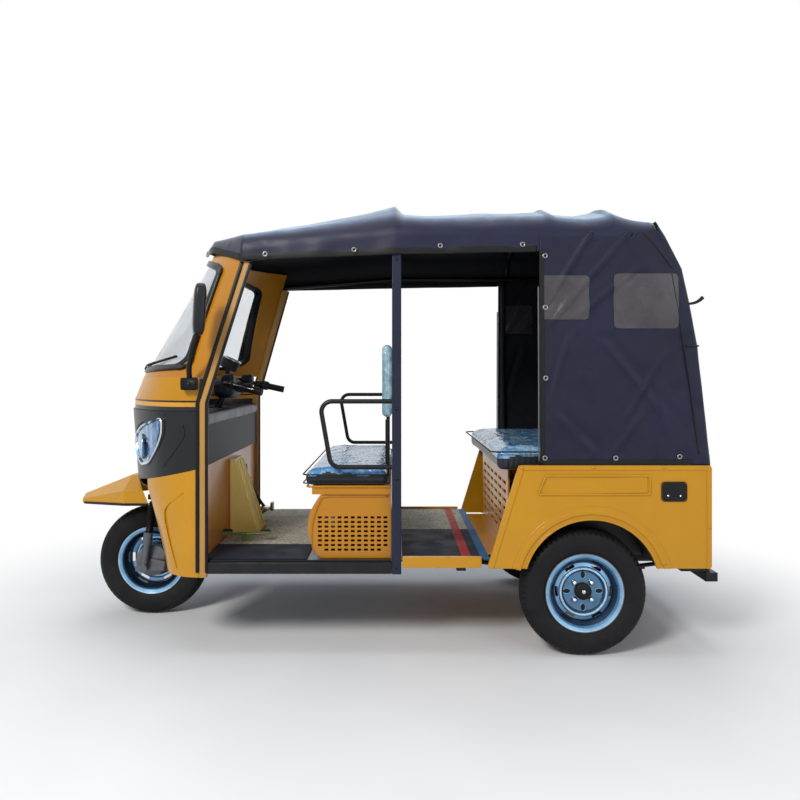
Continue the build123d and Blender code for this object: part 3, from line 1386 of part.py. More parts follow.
hood = hood_layer(0) - hood_layer(cloth, overrun, overrun, overrun)
hood -= roof_layer(-fit, fit, 0, fit)
window_radius = 16
hood_length = tub_rear_x - cover_front_station
window_shares = [  # front, rear, foot and top of each side window, along the hood and up to the eaves
    (0.0194, 0.2766, 0.6421, 0.8139),
    (0.4481, 0.7995, 0.6033, 0.8221),
]
window_wall = 2
rear_window_half = 330
side_windows = []
for front_share, rear_share, foot_share, top_share in window_shares:
    x0, x1 = cover_front_station + hood_length * front_share, cover_front_station + hood_length * rear_share
    z0, z1 = hood_height(foot_share), hood_height(top_share)
    points = [(x0, z0), (x1, z0), (x1, z1), (x0, z1)]
    side_windows.append((points, window_radius))
rear_window_foot_share = 0.591
rear_window_top_share = 0.8057
rear_foot_z, rear_top_z = hood_height(rear_window_foot_share), hood_height(rear_window_top_share)
rear_window = front_face([(-rear_window_half, rear_foot_z), (rear_window_half, rear_foot_z),
                          (rear_window_half, rear_top_z), (-rear_window_half, rear_top_z)], window_radius)
window_layer = hood_layer(window_wall) - hood_layer(window_wall * 2, overrun, overrun, overrun)
panes = []
for points, radius in side_windows:
    hood -= side_plate(points, -body_half - overrun, body_half + overrun, radius)
    pane_face = offset(side_face(points, radius), -fit)
    pane = Pos(0, body_half / 2, 0) * extrude(pane_face, amount=body_half, dir=(0, 1, 0)) & window_layer
    panes += both(pane)
hood -= front_cutter(rear_window, arch_x + arch_radius, rear_end_x)
panes.append(front_cutter(offset(rear_window, -fit), arch_x + arch_radius, rear_end_x) & window_layer)
save("rear_cover", hood)
save("cover_windows", *panes)

# Rear posts that carry the rails and the cover.
rear_post_before_rear_axle = 170
rear_post_x = rear_axle_x - rear_post_before_rear_axle
rear_post_y = rail_line_y
rear_posts = both(rod((rear_post_x, rear_post_y, tub_height - side_wall),
                      (rear_post_x, rear_post_y, roof_rail_z - rail_tube - fit), rail_tube))
tail_post_foot_in = 60
tail_post_head_in = 34
tail_post_draw_in = 14
tail_low = (tub_rear_x - tail_post_foot_in, rear_post_y - tail_post_draw_in, tub_height - side_wall)
tail_high = (roof_rear_x - tail_post_head_in, rear_post_y - tail_draw_in, roof_rail_z)
post_room = block(rear_axle_x, rear_end_x, 0, body_half,
                  tub_height - side_wall, roof_rail_z - rail_tube - fit)
rear_posts += both(rod(tail_low, tail_high, rail_tube) & post_room)
save("roof_frame", *both(roof_rail), *rear_posts)
save("roof_bows", *bows)

# Passenger bench: slotted riser, deck, cushion and backrest.
riser_before_rear_axle = 306
riser_x = rear_axle_x - riser_before_rear_axle
riser_wall = 8
deck_drop = 42
deck_z = tub_height - deck_drop
deck_wall = 10
deck_half = panel_inner - fit
bench_back_behind_rear_axle = 167
bench_back_x = rear_axle_x + bench_back_behind_rear_axle
riser_half = housing_inner_y - fit
riser = block(riser_x, riser_x + riser_wall, -riser_half, riser_half, floor_height + fit, deck_z)
slot_rows = 7
slot_columns = 6
slot_row_share = 0.1081
slot_first_share = 0.1622
slot_row_pitch = (deck_z - floor_height) * slot_row_share
slot_column_pitch = 140
riser_slot_length = 104
riser_slot_height = 16
riser_first_z = floor_height + (deck_z - floor_height) * slot_first_share
riser_slots = []
for row in range(slot_rows):
    for column in range(slot_columns):
        slot_y = (column - (slot_columns - 1) / 2) * slot_column_pitch
        riser_slots.append(Pos(riser_x + riser_wall / 2, slot_y, riser_first_z + row * slot_row_pitch)
                           * Box(riser_wall * 2, riser_slot_length, riser_slot_height))
riser -= riser_slots
deck_front_x = tub_front_x + overrun
deck_tail = 80
deck = block(riser_x, bench_back_x + deck_tail, -riser_half, riser_half, deck_z + fit, deck_z + deck_wall)
for side in (-1, 1):
    y0, y1 = sorted((side * (riser_half - overrun), side * deck_half))
    deck += block(deck_front_x, bench_back_x + deck_tail, y0, y1, deck_z + fit, deck_z + deck_wall)
save("passenger_bench", riser, deck)
passenger_front_before_rear_axle = 395
passenger_front_x = rear_axle_x - passenger_front_before_rear_axle
passenger_half = 575
seat_height = 115
passenger_top_z = deck_z + seat_height
seat_back_gap = 30
save("passenger_cushion", block(passenger_front_x, bench_back_x - seat_back_gap, -passenger_half,
                                passenger_half, deck_z + deck_wall + fit, passenger_top_z))
rest_height = 550
passenger_rest_before = 24
passenger_rest_behind = 50
passenger_rest_top_z = deck_z + rest_height
save("passenger_backrest", block(
    bench_back_x - passenger_rest_before, bench_back_x + passenger_rest_behind, -passenger_half,
    passenger_half, deck_z + deck_wall + fit, passenger_rest_top_z))

# Rear bumper on brackets, with a tow lug; jack pads under the rails.
bar_height = 40
bar_depth = 56
bar_top_z = 331
bracket_half = 480
bracket_width = 40
bracket_height = member_foot_z - bar_top_z
bracket = block(tail_member_x - member_size / 2, rear_end_x - bar_depth / 2, bracket_half - bracket_width,
                bracket_half, bar_top_z, member_foot_z)
bumper = block(rear_end_x - bar_depth, rear_end_x, -bumper_half, bumper_half, bar_top_z - bar_height, bar_top_z)
for side_bracket in both(bracket):
    bumper += side_bracket
save("rear_bumper", bumper)
lug_wall = 12
lug_size = 60
lug_bore = 12
lug_top_z = bar_top_z - bar_height - fit
lug = side_plate([(rear_end_x - lug_size, lug_top_z), (rear_end_x, lug_top_z),
                  (rear_end_x, lug_top_z - lug_size), (rear_end_x - lug_size, lug_top_z - lug_size)],
                 -lug_wall / 2, lug_wall / 2)
lug -= cross_pin(rear_end_x - lug_size / 2, lug_top_z - lug_size / 2, lug_bore, -lug_wall, lug_wall)
save("tow_lug", lug)
print("wheelbase", wheelbase, "length", overall_length)
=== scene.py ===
import json
import math

import bmesh
import bpy
import numpy as np
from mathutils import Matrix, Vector

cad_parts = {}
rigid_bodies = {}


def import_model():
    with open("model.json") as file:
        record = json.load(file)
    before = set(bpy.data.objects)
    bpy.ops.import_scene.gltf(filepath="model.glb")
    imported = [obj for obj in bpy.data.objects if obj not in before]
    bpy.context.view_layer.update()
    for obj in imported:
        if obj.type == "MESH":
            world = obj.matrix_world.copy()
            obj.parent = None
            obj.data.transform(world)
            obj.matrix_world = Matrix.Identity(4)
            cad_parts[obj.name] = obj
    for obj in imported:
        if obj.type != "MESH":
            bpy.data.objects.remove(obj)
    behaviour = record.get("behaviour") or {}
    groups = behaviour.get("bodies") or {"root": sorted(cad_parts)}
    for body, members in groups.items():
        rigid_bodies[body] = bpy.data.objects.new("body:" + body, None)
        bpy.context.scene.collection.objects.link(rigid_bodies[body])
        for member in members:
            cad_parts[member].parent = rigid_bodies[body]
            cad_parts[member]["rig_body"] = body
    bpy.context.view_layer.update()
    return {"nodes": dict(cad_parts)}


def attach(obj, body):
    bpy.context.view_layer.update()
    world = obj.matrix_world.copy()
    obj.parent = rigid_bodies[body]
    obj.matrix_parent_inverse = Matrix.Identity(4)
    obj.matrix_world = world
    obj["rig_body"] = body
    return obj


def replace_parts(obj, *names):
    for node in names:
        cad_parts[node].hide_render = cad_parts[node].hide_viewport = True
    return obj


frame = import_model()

nodes = frame["nodes"]
sides = (("Left", -1), ("Right", 1))
print("frame loaded with", len(nodes), "nodes")


def tone(red, green, blue):
    # a screen colour in steps of 0 to 255, as the linear colour that a shader takes
    share = np.array([red, green, blue]) / 255
    linear = np.where(share <= 0.04045, share / 12.92, ((share + 0.055) / 1.055) ** 2.4)
    return (*[float(c) for c in linear], 1.0)


def meshPoints(mesh):
    # the places of a mesh's vertices, one row each
    points = np.empty(len(mesh.vertices) * 3)
    mesh.vertices.foreach_get("co", points)
    return points.reshape(-1, 3)


def setPoints(mesh, points):
    mesh.vertices.foreach_set("co", points.reshape(-1))
    mesh.update()


def linkedObject(name, mesh):
    # an object of the mesh, at the origin of the scene
    piece = bpy.data.objects.new(name, mesh)
    bpy.context.scene.collection.objects.link(piece)
    return piece


def meshPiece(name, points, faces, material, body="chassis", smooth=True):
    # points (n, 3) and faces become a mesh whose object stays at the origin
    mesh = bpy.data.meshes.new(name)
    mesh.from_pydata(np.asarray(points, float).tolist(), [], [list(map(int, f)) for f in faces])
    mesh.update()
    mesh.polygons.foreach_set("use_smooth", [smooth] * len(mesh.polygons))
    if material is not None:
        mesh.materials.append(material)
    piece = linkedObject(name, mesh)
    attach(piece, body)
    return piece


def gridFaces(rows, columns, closeRows=False, closeColumns=False):
    # the quads between neighbours of a grid of points, wrapped round where asked
    i, j = np.meshgrid(np.arange(rows if closeRows else rows - 1),
                       np.arange(columns if closeColumns else columns - 1), indexing="ij")
    nextI, nextJ = (i + 1) % rows, (j + 1) % columns
    corners = [i * columns + j, i * columns + nextJ, nextI * columns + nextJ, nextI * columns + j]
    return np.stack(corners, -1)


def turnOutward(piece, merge=1e-5):
    # doubles go first, then every face looks out of its own shell
    work = bmesh.new()
    work.from_mesh(piece.data)
    bmesh.ops.remove_doubles(work, verts=work.verts, dist=merge)
    bmesh.ops.recalc_face_normals(work, faces=work.faces)
    work.to_mesh(piece.data)
    work.free()
    piece.data.update()
    return piece


def surfacePiece(name, grid, material, body="chassis", closeRows=False, closeColumns=False, caps=False,
                 closed=True, drop=None, smooth=True, uv=None):
    # grid (rows, columns, 3) is a surface over two parameters; drop marks quads that are cut away
    rows, columns = grid.shape[:2]
    quads = gridFaces(rows, columns, closeRows, closeColumns)
    faces = quads.reshape(-1, 4) if drop is None else quads[~drop]
    faces = faces.tolist()
    if caps:
        faces.append(list(range(columns - 1, -1, -1)))
        faces.append([(rows - 1) * columns + k for k in range(columns)])
    piece = meshPiece(name, grid.reshape(-1, 3), faces, material, body, smooth)
    if uv is not None:
        layer = piece.data.uv_layers.new(name="cut")
        index = np.empty(len(piece.data.loops), int)
        piece.data.loops.foreach_get("vertex_index", index)
        layer.data.foreach_set("uv", uv.reshape(-1, 2)[index].reshape(-1))
    return turnOutward(piece) if closed else piece


def smoothPath(points, count, closed=False):
    # a Catmull-Rom curve through the points, read at equal steps of its parameter
    knots = np.asarray(points, float)
    if closed:
        knots = np.vstack([knots[-1], knots, knots[0], knots[1]])
    else:
        knots = np.vstack([2 * knots[0] - knots[1], knots, 2 * knots[-1] - knots[-2]])
    spans = len(knots) - 3
    at = np.linspace(0, spans, count, endpoint=not closed)
    index = np.minimum(at.astype(int), spans - 1)
    t = (at - index)[:, None]
    a, b, c, d = knots[index], knots[index + 1], knots[index + 2], knots[index + 3]
    return 0.5 * (2 * b + (c - a) * t + (2 * a - 5 * b + 4 * c - d) * t**2 + (3 * b - a - 3 * c + d) * t**3)


def cornerPath(points, radius, step=0.006, closed=False):
    # straight runs whose corners are rounded by quadratic curves that start a radius before each corner
    knots = np.asarray(points, float)
    count = len(knots)
    out = []
    for k in range(count):
        here = knots[k]
        if not closed and k in (0, count - 1):
            out.append(here[None])
            continue
        before, after = knots[k - 1] - here, knots[(k + 1) % count] - here
        reach = min(radius, np.linalg.norm(before) * 0.49, np.linalg.norm(after) * 0.49)
        start, end = here + before / np.linalg.norm(before) * reach, here + after / np.linalg.norm(after) * reach
        t = np.linspace(0, 1, 9)[:, None]
        out.append((1 - t) ** 2 * start + 2 * t * (1 - t) * here + t**2 * end)
    line = np.vstack(out + ([out[0][:1]] if closed else []))
    length = np.concatenate([[0], np.cumsum(np.linalg.norm(np.diff(line, axis=0), axis=1))])
    at = np.linspace(0, length[-1], max(int(length[-1] / step), 3))
    even = np.stack([np.interp(at, length, line[:, k]) for k in range(3)], 1)
    return even[:-1] if closed else even


def sweepPiece(name, path, section, material, body="chassis", up=(0, 0, 1), closed=False, size=None):
    # a closed section of (side, up) pairs carried along a path; size is its scale at each point of the path
    path = np.asarray(path, float)
    ahead = np.roll(path, -1, 0) - np.roll(path, 1, 0) if closed else np.gradient(path, axis=0)
    ahead /= np.linalg.norm(ahead, axis=1)[:, None]
    side = np.cross(ahead, np.asarray(up, float))
    side /= np.maximum(np.linalg.norm(side, axis=1)[:, None], 1e-9)
    top = np.cross(side, ahead)
    size = np.ones(len(path)) if size is None else np.asarray(size, float)
    section = np.asarray(section, float)
    grid = (path[:, None] + side[:, None] * (section[None, :, :1] * size[:, None, None])
            + top[:, None] * (section[None, :, 1:] * size[:, None, None]))
    return surfacePiece(name, grid, material, body, closeRows=closed, closeColumns=True, caps=not closed)


def roundSection(radius, count=12):
    # a circle
    angle = np.linspace(0, 2 * np.pi, count, endpoint=False)
    return np.stack([np.cos(angle), np.sin(angle)], 1) * radius


def slabSection(width, height, corner, count=5):
    # a rectangle with quarter circles at its corners
    turns = np.linspace(0, np.pi / 2, count)
    out = [np.stack([sx * (width / 2 - corner) + corner * np.cos(turns + k * np.pi / 2),
                     sy * (height / 2 - corner) + corner * np.sin(turns + k * np.pi / 2)], 1)
           for k, (sx, sy) in enumerate(((1, 1), (-1, 1), (-1, -1), (1, -1)))]
    return np.vstack(out)


def lathePiece(name, profile, material, body, centre, axis=(0, 1, 0), count=64):
    # a profile of (radius, along) pairs turned about an axis through centre
    profile = np.asarray(profile, float)
    axis = np.asarray(axis, float) / np.linalg.norm(axis)
    first = np.cross(axis, [0, 0, 1]) if abs(axis[2]) < 0.9 else np.cross(axis, [1, 0, 0])
    first /= np.linalg.norm(first)
    second = np.cross(axis, first)
    angle = np.linspace(0, 2 * np.pi, count, endpoint=False)
    ring = np.cos(angle)[:, None] * first + np.sin(angle)[:, None] * second
    grid = np.asarray(centre, float) + ring[:, None] * profile[None, :, :1] + axis * profile[None, :, 1:]
    return surfacePiece(name, grid, material, body, closeRows=True, closeColumns=True)


def joinedPiece(name, pieces):
    # pieces of one material and one body become one mesh
    points, faces, start = [], [], 0
    for piece in pieces:
        mesh = piece.data
        points.append(meshPoints(mesh))
        faces += [[start + v for v in polygon.vertices] for polygon in mesh.polygons]
        start += len(mesh.vertices)
    first = pieces[0]
    smooth = first.data.polygons[0].use_smooth
    made = meshPiece(name, np.vstack(points), faces, first.data.materials[0], first["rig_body"], smooth)
    for piece in pieces:
        bpy.data.objects.remove(piece)
    return made


def bothSides(maker, name, *given):
    # maker(name, side, ...) is run for the left side, -1, and the right side, 1
    return [maker(name + word, side, *given) for word, side in sides]


def softEdges(piece, width, angle):
    edge = piece.modifiers.new("edge", "BEVEL")
    edge.width, edge.segments = width, 2
    edge.limit_method, edge.angle_limit = "ANGLE", math.radians(angle)
    return piece


def unevenness(points, seed, size, height, layers=3, stretch=(1, 1, 1)):
    # a sum of sine waves in random directions, each layer twice as fine and half as high
    draw = np.random.default_rng(seed)
    value = np.zeros(points.shape[:-1])
    for layer in range(layers):
        ways = draw.normal(size=(5, 3)) * np.asarray(stretch)
        ways /= np.linalg.norm(ways, axis=1)[:, None]
        phases = draw.uniform(0, 2 * np.pi, 5)
        waves = np.sin(points @ ways.T * (2 * np.pi / size * 2**layer) + phases)
        value += waves.sum(-1) / 5 / 2**layer
    return value * height


def tidyCopy(node, name, material, bevel, angle):
    # a merged copy of a CAD node stands for it: smooth over its curves and soft at its edges
    source = nodes[node]
    mesh = source.data.copy()
    work = bmesh.new()
    work.from_mesh(mesh)
    bmesh.ops.remove_doubles(work, verts=work.verts, dist=2e-5)
    bmesh.ops.dissolve_limit(work, angle_limit=math.radians(0.5), verts=work.verts, edges=work.edges)
    for edge in work.edges:
        edge.smooth = not (len(edge.link_faces) == 2 and edge.calc_face_angle(0) > math.radians(angle))
    for face in work.faces:
        face.smooth = True
    work.to_mesh(mesh)
    work.free()
    if "custom_normal" in mesh.attributes:
        mesh.attributes.remove(mesh.attributes["custom_normal"])
    mesh.materials.clear()
    mesh.materials.append(material)
    mesh.name = name
    piece = linkedObject(name, mesh)
    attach(piece, source["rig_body"])
    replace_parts(piece, node)
    return softEdges(piece, bevel, angle) if bevel else piece


def dressNode(node, material):
    # a CAD node keeps its mesh and takes a better material
    source = nodes[node]
    if not source.material_slots:
        source.data.materials.append(material)
    for place in source.material_slots:
        place.material = material


def addNode(tree, kind, inputs=None, **values):
    # a shader node with its settings and its sockets' plain values
    made = tree.nodes.new(kind)
    for key, value in values.items():
        setattr(made, key, value)
    for key, value in (inputs or {}).items():
        if isinstance(value, bpy.types.NodeSocket):
            tree.links.new(value, made.inputs[key])
        else:
            made.inputs[key].default_value = value
    return made


def mathNode(tree, operation, first, second=0.0, clamp=False):
    # one arithmetic step on values or sockets
    return addNode(tree, "ShaderNodeMath", {0: first, 1: second}, operation=operation,
                   use_clamp=clamp).outputs[0]


def mixColour(tree, share, first, second, blend="MIX"):
    # first where share is 0 and second where it is 1
    made = addNode(tree, "ShaderNodeMix", {"Factor": share}, data_type="RGBA", blend_type=blend)
    for socket, value in ((made.inputs[6], first), (made.inputs[7], second)):
        if isinstance(value, bpy.types.NodeSocket):
            tree.links.new(value, socket)
        else:
            socket.default_value = value
    return made.outputs[2]


def stepValue(tree, value, low, high, start=0.0, end=1.0):
    # start below low, end above high and a smooth change between them
    made = addNode(tree, "ShaderNodeMapRange", {"Value": value, "From Min": low, "From Max": high,
                                                 "To Min": start, "To Max": end},
                   interpolation_type="SMOOTHSTEP")
    return made.outputs[0]


def objectPlace(tree):
    return addNode(tree, "ShaderNodeTexCoord").outputs["Object"]


def facingParts(tree):
    # the separate shares of the surface's own direction
    facing = addNode(tree, "ShaderNodeNewGeometry").outputs["Normal"]
    return addNode(tree, "ShaderNodeSeparateXYZ", {0: facing}).outputs


def newGroup(name, inputs, outputs):
    # an empty shader node group with named sockets
    tree = bpy.data.node_groups.new(name, "ShaderNodeTree")
    kinds = {"value": "NodeSocketFloat", "colour": "NodeSocketColor", "vector": "NodeSocketVector"}
    for label, kind, start in inputs:
        socket = tree.interface.new_socket(name=label, in_out="INPUT", socket_type=kinds[kind])
        socket.default_value = start
    for label, kind in outputs:
        tree.interface.new_socket(name=label, in_out="OUTPUT", socket_type=kinds[kind])
    return tree, tree.nodes.new("NodeGroupInput"), tree.nodes.new("NodeGroupOutput")


def paintDriftGroup():
    # colour that drifts a little over a hand's width, and the fine ripple of sprayed enamel
    tree, given, made = newGroup("paintDrift", [("Colour", "colour", (1, 1, 1, 1)), ("Drift", "value", 0.1),
                                                ("Size", "value", 4.0), ("Ripple", "value", 220.0)],
                                 [("Colour", "colour"), ("Height", "value"), ("Drift", "value")])
    place = objectPlace(tree)
    cloud = addNode(tree, "ShaderNodeTexNoise", {"Vector": place, "Scale": given.outputs["Size"],
                                                 "Detail": 4.0,
                                                 "Roughness": 0.6}).outputs["Fac"]
    low = mathNode(tree, "SUBTRACT", 1.0, given.outputs["Drift"])
    high = mathNode(tree, "ADD", 1.0, given.outputs["Drift"])
    level = addNode(tree, "ShaderNodeMapRange", {"Value": cloud, "From Min": 0.3, "From Max": 0.7,
                                                 "To Min": low,
                                                 "To Max": high}).outputs[0]
    grey = addNode(tree, "ShaderNodeCombineColor", {0: level, 1: level, 2: level}).outputs[0]
    tree.links.new(mixColour(tree, 1.0, given.outputs["Colour"], grey, "MULTIPLY"), made.inputs["Colour"])
    ripple = addNode(tree, "ShaderNodeTexNoise", {"Vector": place, "Scale": given.outputs["Ripple"],
                                                  "Detail": 2.0}).outputs["Fac"]
    tree.links.new(ripple, made.inputs["Height"])
    tree.links.new(cloud, made.inputs["Drift"])
    return tree


def roadDustGroup():
    # pale dust that thins out with height and breaks up in patches
    tree, given, made = newGroup("roadDust", [("Colour", "colour", (1, 1, 1, 1)), ("Dust", "colour",
                                                                                   tone(150, 138, 118)),
                                              ("Amount", "value", 0.3), ("Low", "value", 0.3),
                                              ("High", "value", 0.7)],
                                 [("Colour", "colour"), ("Mask", "value")])
    place = objectPlace(tree)
    height = addNode(tree, "ShaderNodeSeparateXYZ", {0: place}).outputs["Z"]
    fade = addNode(tree, "ShaderNodeMapRange", {"Value": height, "From Min": given.outputs["Low"],
                                                "From Max": given.outputs["High"], "To Min": 1.0,
                                                "To Max": 0.0},
                   interpolation_type="SMOOTHSTEP").outputs[0]
    patch = addNode(tree, "ShaderNodeTexNoise", {"Vector": place, "Scale": 14.0, "Detail": 6.0,
                                                 "Roughness": 0.7}).outputs["Fac"]
    patch = stepValue(tree, patch, 0.35, 0.75)
    mask = mathNode(tree, "MULTIPLY", mathNode(tree, "MULTIPLY", fade, patch), given.outputs["Amount"])
    tree.links.new(mixColour(tree, mask, given.outputs["Colour"], given.outputs["Dust"]),
                   made.inputs["Colour"])
    tree.links.new(mask, made.inputs["Mask"])
    return tree


def clothWeaveGroup():
    # crossed threads on the piece's own cut pattern, in metres
    tree, given, made = newGroup("clothWeave", [("Threads", "value", 700.0)], [("Height", "value")])
    place = addNode(tree, "ShaderNodeTexCoord").outputs["UV"]
    parts = addNode(tree, "ShaderNodeSeparateXYZ", {0: place})
    waves = []
    for axis in ("X", "Y"):
        turn = mathNode(tree, "MULTIPLY", mathNode(tree, "MULTIPLY", parts.outputs[axis],
                                                   given.outputs["Threads"]), 6.2832)
        waves.append(mathNode(tree, "SINE", turn))
    tree.links.new(mathNode(tree, "MULTIPLY", waves[0], waves[1]), made.inputs["Height"])
    return tree


def crinkleGroup():
    # sharp creases between flat facets, as in thin film: the edges of warped cells
    tree, given, made = newGroup("crinkle", [("Size", "value", 30.0), ("Warp", "value", 0.05)],
                                 [("Height", "value"), ("Mask", "value")])
    place = objectPlace(tree)
    bend = addNode(tree, "ShaderNodeTexNoise", {"Vector": place, "Scale": 9.0,
                                                "Detail": 3.0}).outputs["Color"]
    scaled = addNode(tree, "ShaderNodeVectorMath", {0: bend}, operation="SCALE")
    tree.links.new(given.outputs["Warp"], scaled.inputs["Scale"])
    moved = addNode(tree, "ShaderNodeVectorMath", {0: place, 1: scaled.outputs[0]},
                    operation="ADD").outputs[0]
    cells = addNode(tree, "ShaderNodeTexVoronoi", {"Vector": moved, "Scale": given.outputs["Size"]},
                    feature="DISTANCE_TO_EDGE").outputs["Distance"]
    fine = addNode(tree, "ShaderNodeTexNoise", {"Vector": moved, "Scale": 60.0, "Detail": 4.0}).outputs["Fac"]
    height = mathNode(tree, "ADD", stepValue(tree, cells, 0.0, 0.35), mathNode(tree, "MULTIPLY", fine, 0.35))
    tree.links.new(height, made.inputs["Height"])
    patches = addNode(tree, "ShaderNodeTexNoise", {"Vector": moved, "Scale": 11.0, "Detail": 5.0,
                                                   "Roughness": 0.65}).outputs["Fac"]
    tree.links.new(stepValue(tree, patches, 0.42, 0.6), made.inputs["Mask"])
    return tree


def pebbleGroup():
    # small rounded cells, as on vinyl and moulded plastic
    tree, given, made = newGroup("pebble", [("Size", "value", 400.0)], [("Height", "value")])
    place = objectPlace(tree)
    cells = addNode(tree, "ShaderNodeTexVoronoi", {"Vector": place, "Scale": given.outputs["Size"]},
                    feature="SMOOTH_F1").outputs["Distance"]
    tree.links.new(cells, made.inputs["Height"])
    return tree


groups = {"drift": paintDriftGroup(), "dust": roadDustGroup(), "weave": clothWeaveGroup(),
          "crinkle": crinkleGroup(), "pebble": pebbleGroup()}


def useGroup(tree, name, **inputs):
    made = tree.nodes.new("ShaderNodeGroup")
    made.node_tree = groups[name]
    for key, value in inputs.items():
        if isinstance(value, bpy.types.NodeSocket):
            tree.links.new(value, made.inputs[key])
        else:
            made.inputs[key].default_value = value
    return made


def newMaterial(name, **plain):
    # a material whose plain numbers stand on the shader's own sockets
    made = bpy.data.materials.new(name)
    made.use_nodes = True
    shader = made.node_tree.nodes["Principled BSDF"]
    for key, value in plain.items():
        shader.inputs[key.replace("_", " ")].default_value = value
    return made, made.node_tree, shader


def bumpFrom(tree, shader, height, strength, distance):
    bump = addNode(tree, "ShaderNodeBump", {"Height": height, "Strength": strength, "Distance": distance})
    tree.links.new(bump.outputs[0], shader.inputs["Normal"])


def finishMaterial(tree, shader, colour, roughness, height, strength, distance):
    # the three sockets that every material here fills
    tree.links.new(colour, shader.inputs["Base Color"])
    tree.links.new(roughness, shader.inputs["Roughness"])
    bumpFrom(tree, shader, height, strength, distance)


def paintMaterial(name, colour, rough=0.3, coat=0.5, metal=0.0, drift=0.06, size=3.0, ripple=200.0, bump=0.08,
                  dust=0.0, low=0.28, high=0.75, dustColour=(150, 138, 118)):
    # enamel: drifting colour, a clear coat, sprayed ripple, and road dust low down where asked
    made, tree, shader = newMaterial(name, Metallic=metal, Coat_Roughness=0.12, Specular_IOR_Level=0.3)
    shade = useGroup(tree, "drift", Colour=tone(*colour), Drift=drift, Size=size, Ripple=ripple)
    final = shade.outputs["Colour"]
    roughness = stepValue(tree, shade.outputs["Drift"], 0.3, 0.7, rough * 0.85, rough * 1.15)
    if dust:
        film = useGroup(tree, "dust", Colour=final, Dust=tone(*dustColour), Amount=dust, Low=low, High=high)
        final = film.outputs["Colour"]
        roughness = mathNode(tree, "ADD", roughness, mathNode(tree, "MULTIPLY", film.outputs["Mask"], 0.45),
                             clamp=True)
    shader.inputs["Coat Weight"].default_value = coat
    finishMaterial(tree, shader, final, roughness, shade.outputs["Height"], bump, 0.001)
    return made


def pebbleMaterial(name, colour, rough=0.45, grain=420.0, bump=0.25, drift=0.08, sheen=0.0):
    # vinyl or moulded plastic with a pebbled skin
    made, tree, shader = newMaterial(name, Specular_IOR_Level=0.25)
    shader.inputs["Sheen Weight"].default_value = sheen
    shade = useGroup(tree, "drift", Colour=tone(*colour), Drift=drift, Size=6.0, Ripple=200.0)
    skin = useGroup(tree, "pebble", Size=grain)
    roughness = stepValue(tree, skin.outputs["Height"], 0.0, 1.0, rough * 0.85, rough * 1.15)
    finishMaterial(tree, shader, shade.outputs["Colour"], roughness, skin.outputs["Height"], bump, 0.0006)
    return made


def glassMaterial(name, colour, rough=0.02, ior=1.45):
    # clear sheet with faint smears in its gloss
    made, tree, shader = newMaterial(name, Transmission_Weight=1.0, IOR=ior)
    shade = useGroup(tree, "drift", Colour=tone(*colour), Drift=0.02, Size=5.0, Ripple=60.0)
    roughness = stepValue(tree, shade.outputs["Drift"], 0.4, 0.7, rough, rough + 0.03)
    finishMaterial(tree, shader, shade.outputs["Colour"], roughness, shade.outputs["Height"], 0.02, 0.001)
    return made


def radiusMask(tree, centre, low, high):
    # 1 between two distances from a wheel's axle
    place = objectPlace(tree)
    moved = addNode(tree, "ShaderNodeMapping", {"Vector": place,
                                                "Location": tuple(-c for c in centre)}).outputs[0]
    flat = addNode(tree, "ShaderNodeVectorMath", {0: moved, 1: (1, 0, 1)}, operation="MULTIPLY").outputs[0]
    length = addNode(tree, "ShaderNodeVectorMath", {0: flat}, operation="LENGTH").outputs["Value"]
    above, below = mathNode(tree, "GREATER_THAN", length, low), mathNode(tree, "LESS_THAN", length, high)
    return mathNode(tree, "MULTIPLY", above, below), addNode(tree, "ShaderNodeSeparateXYZ",
                                                             {0: moved}).outputs["Y"]


def tyreMaterial():
    # black rubber, greyed by dust on the tread and the shoulders
    made, tree, shader = newMaterial("tyreRubber", Specular_IOR_Level=0.25)
    shade = useGroup(tree, "drift", Colour=tone(14, 14, 17), Drift=0.2, Size=8.0, Ripple=90.0)
    film = useGroup(tree, "dust", Colour=shade.outputs["Colour"], Dust=tone(58, 56, 56), Amount=0.2, Low=0.1,
                    High=0.4)
    roughness = stepValue(tree, shade.outputs["Drift"], 0.3, 0.7, 0.58, 0.78)
    finishMaterial(tree, shader, film.outputs["Colour"], roughness, shade.outputs["Height"], 0.25, 0.0008)
    return made


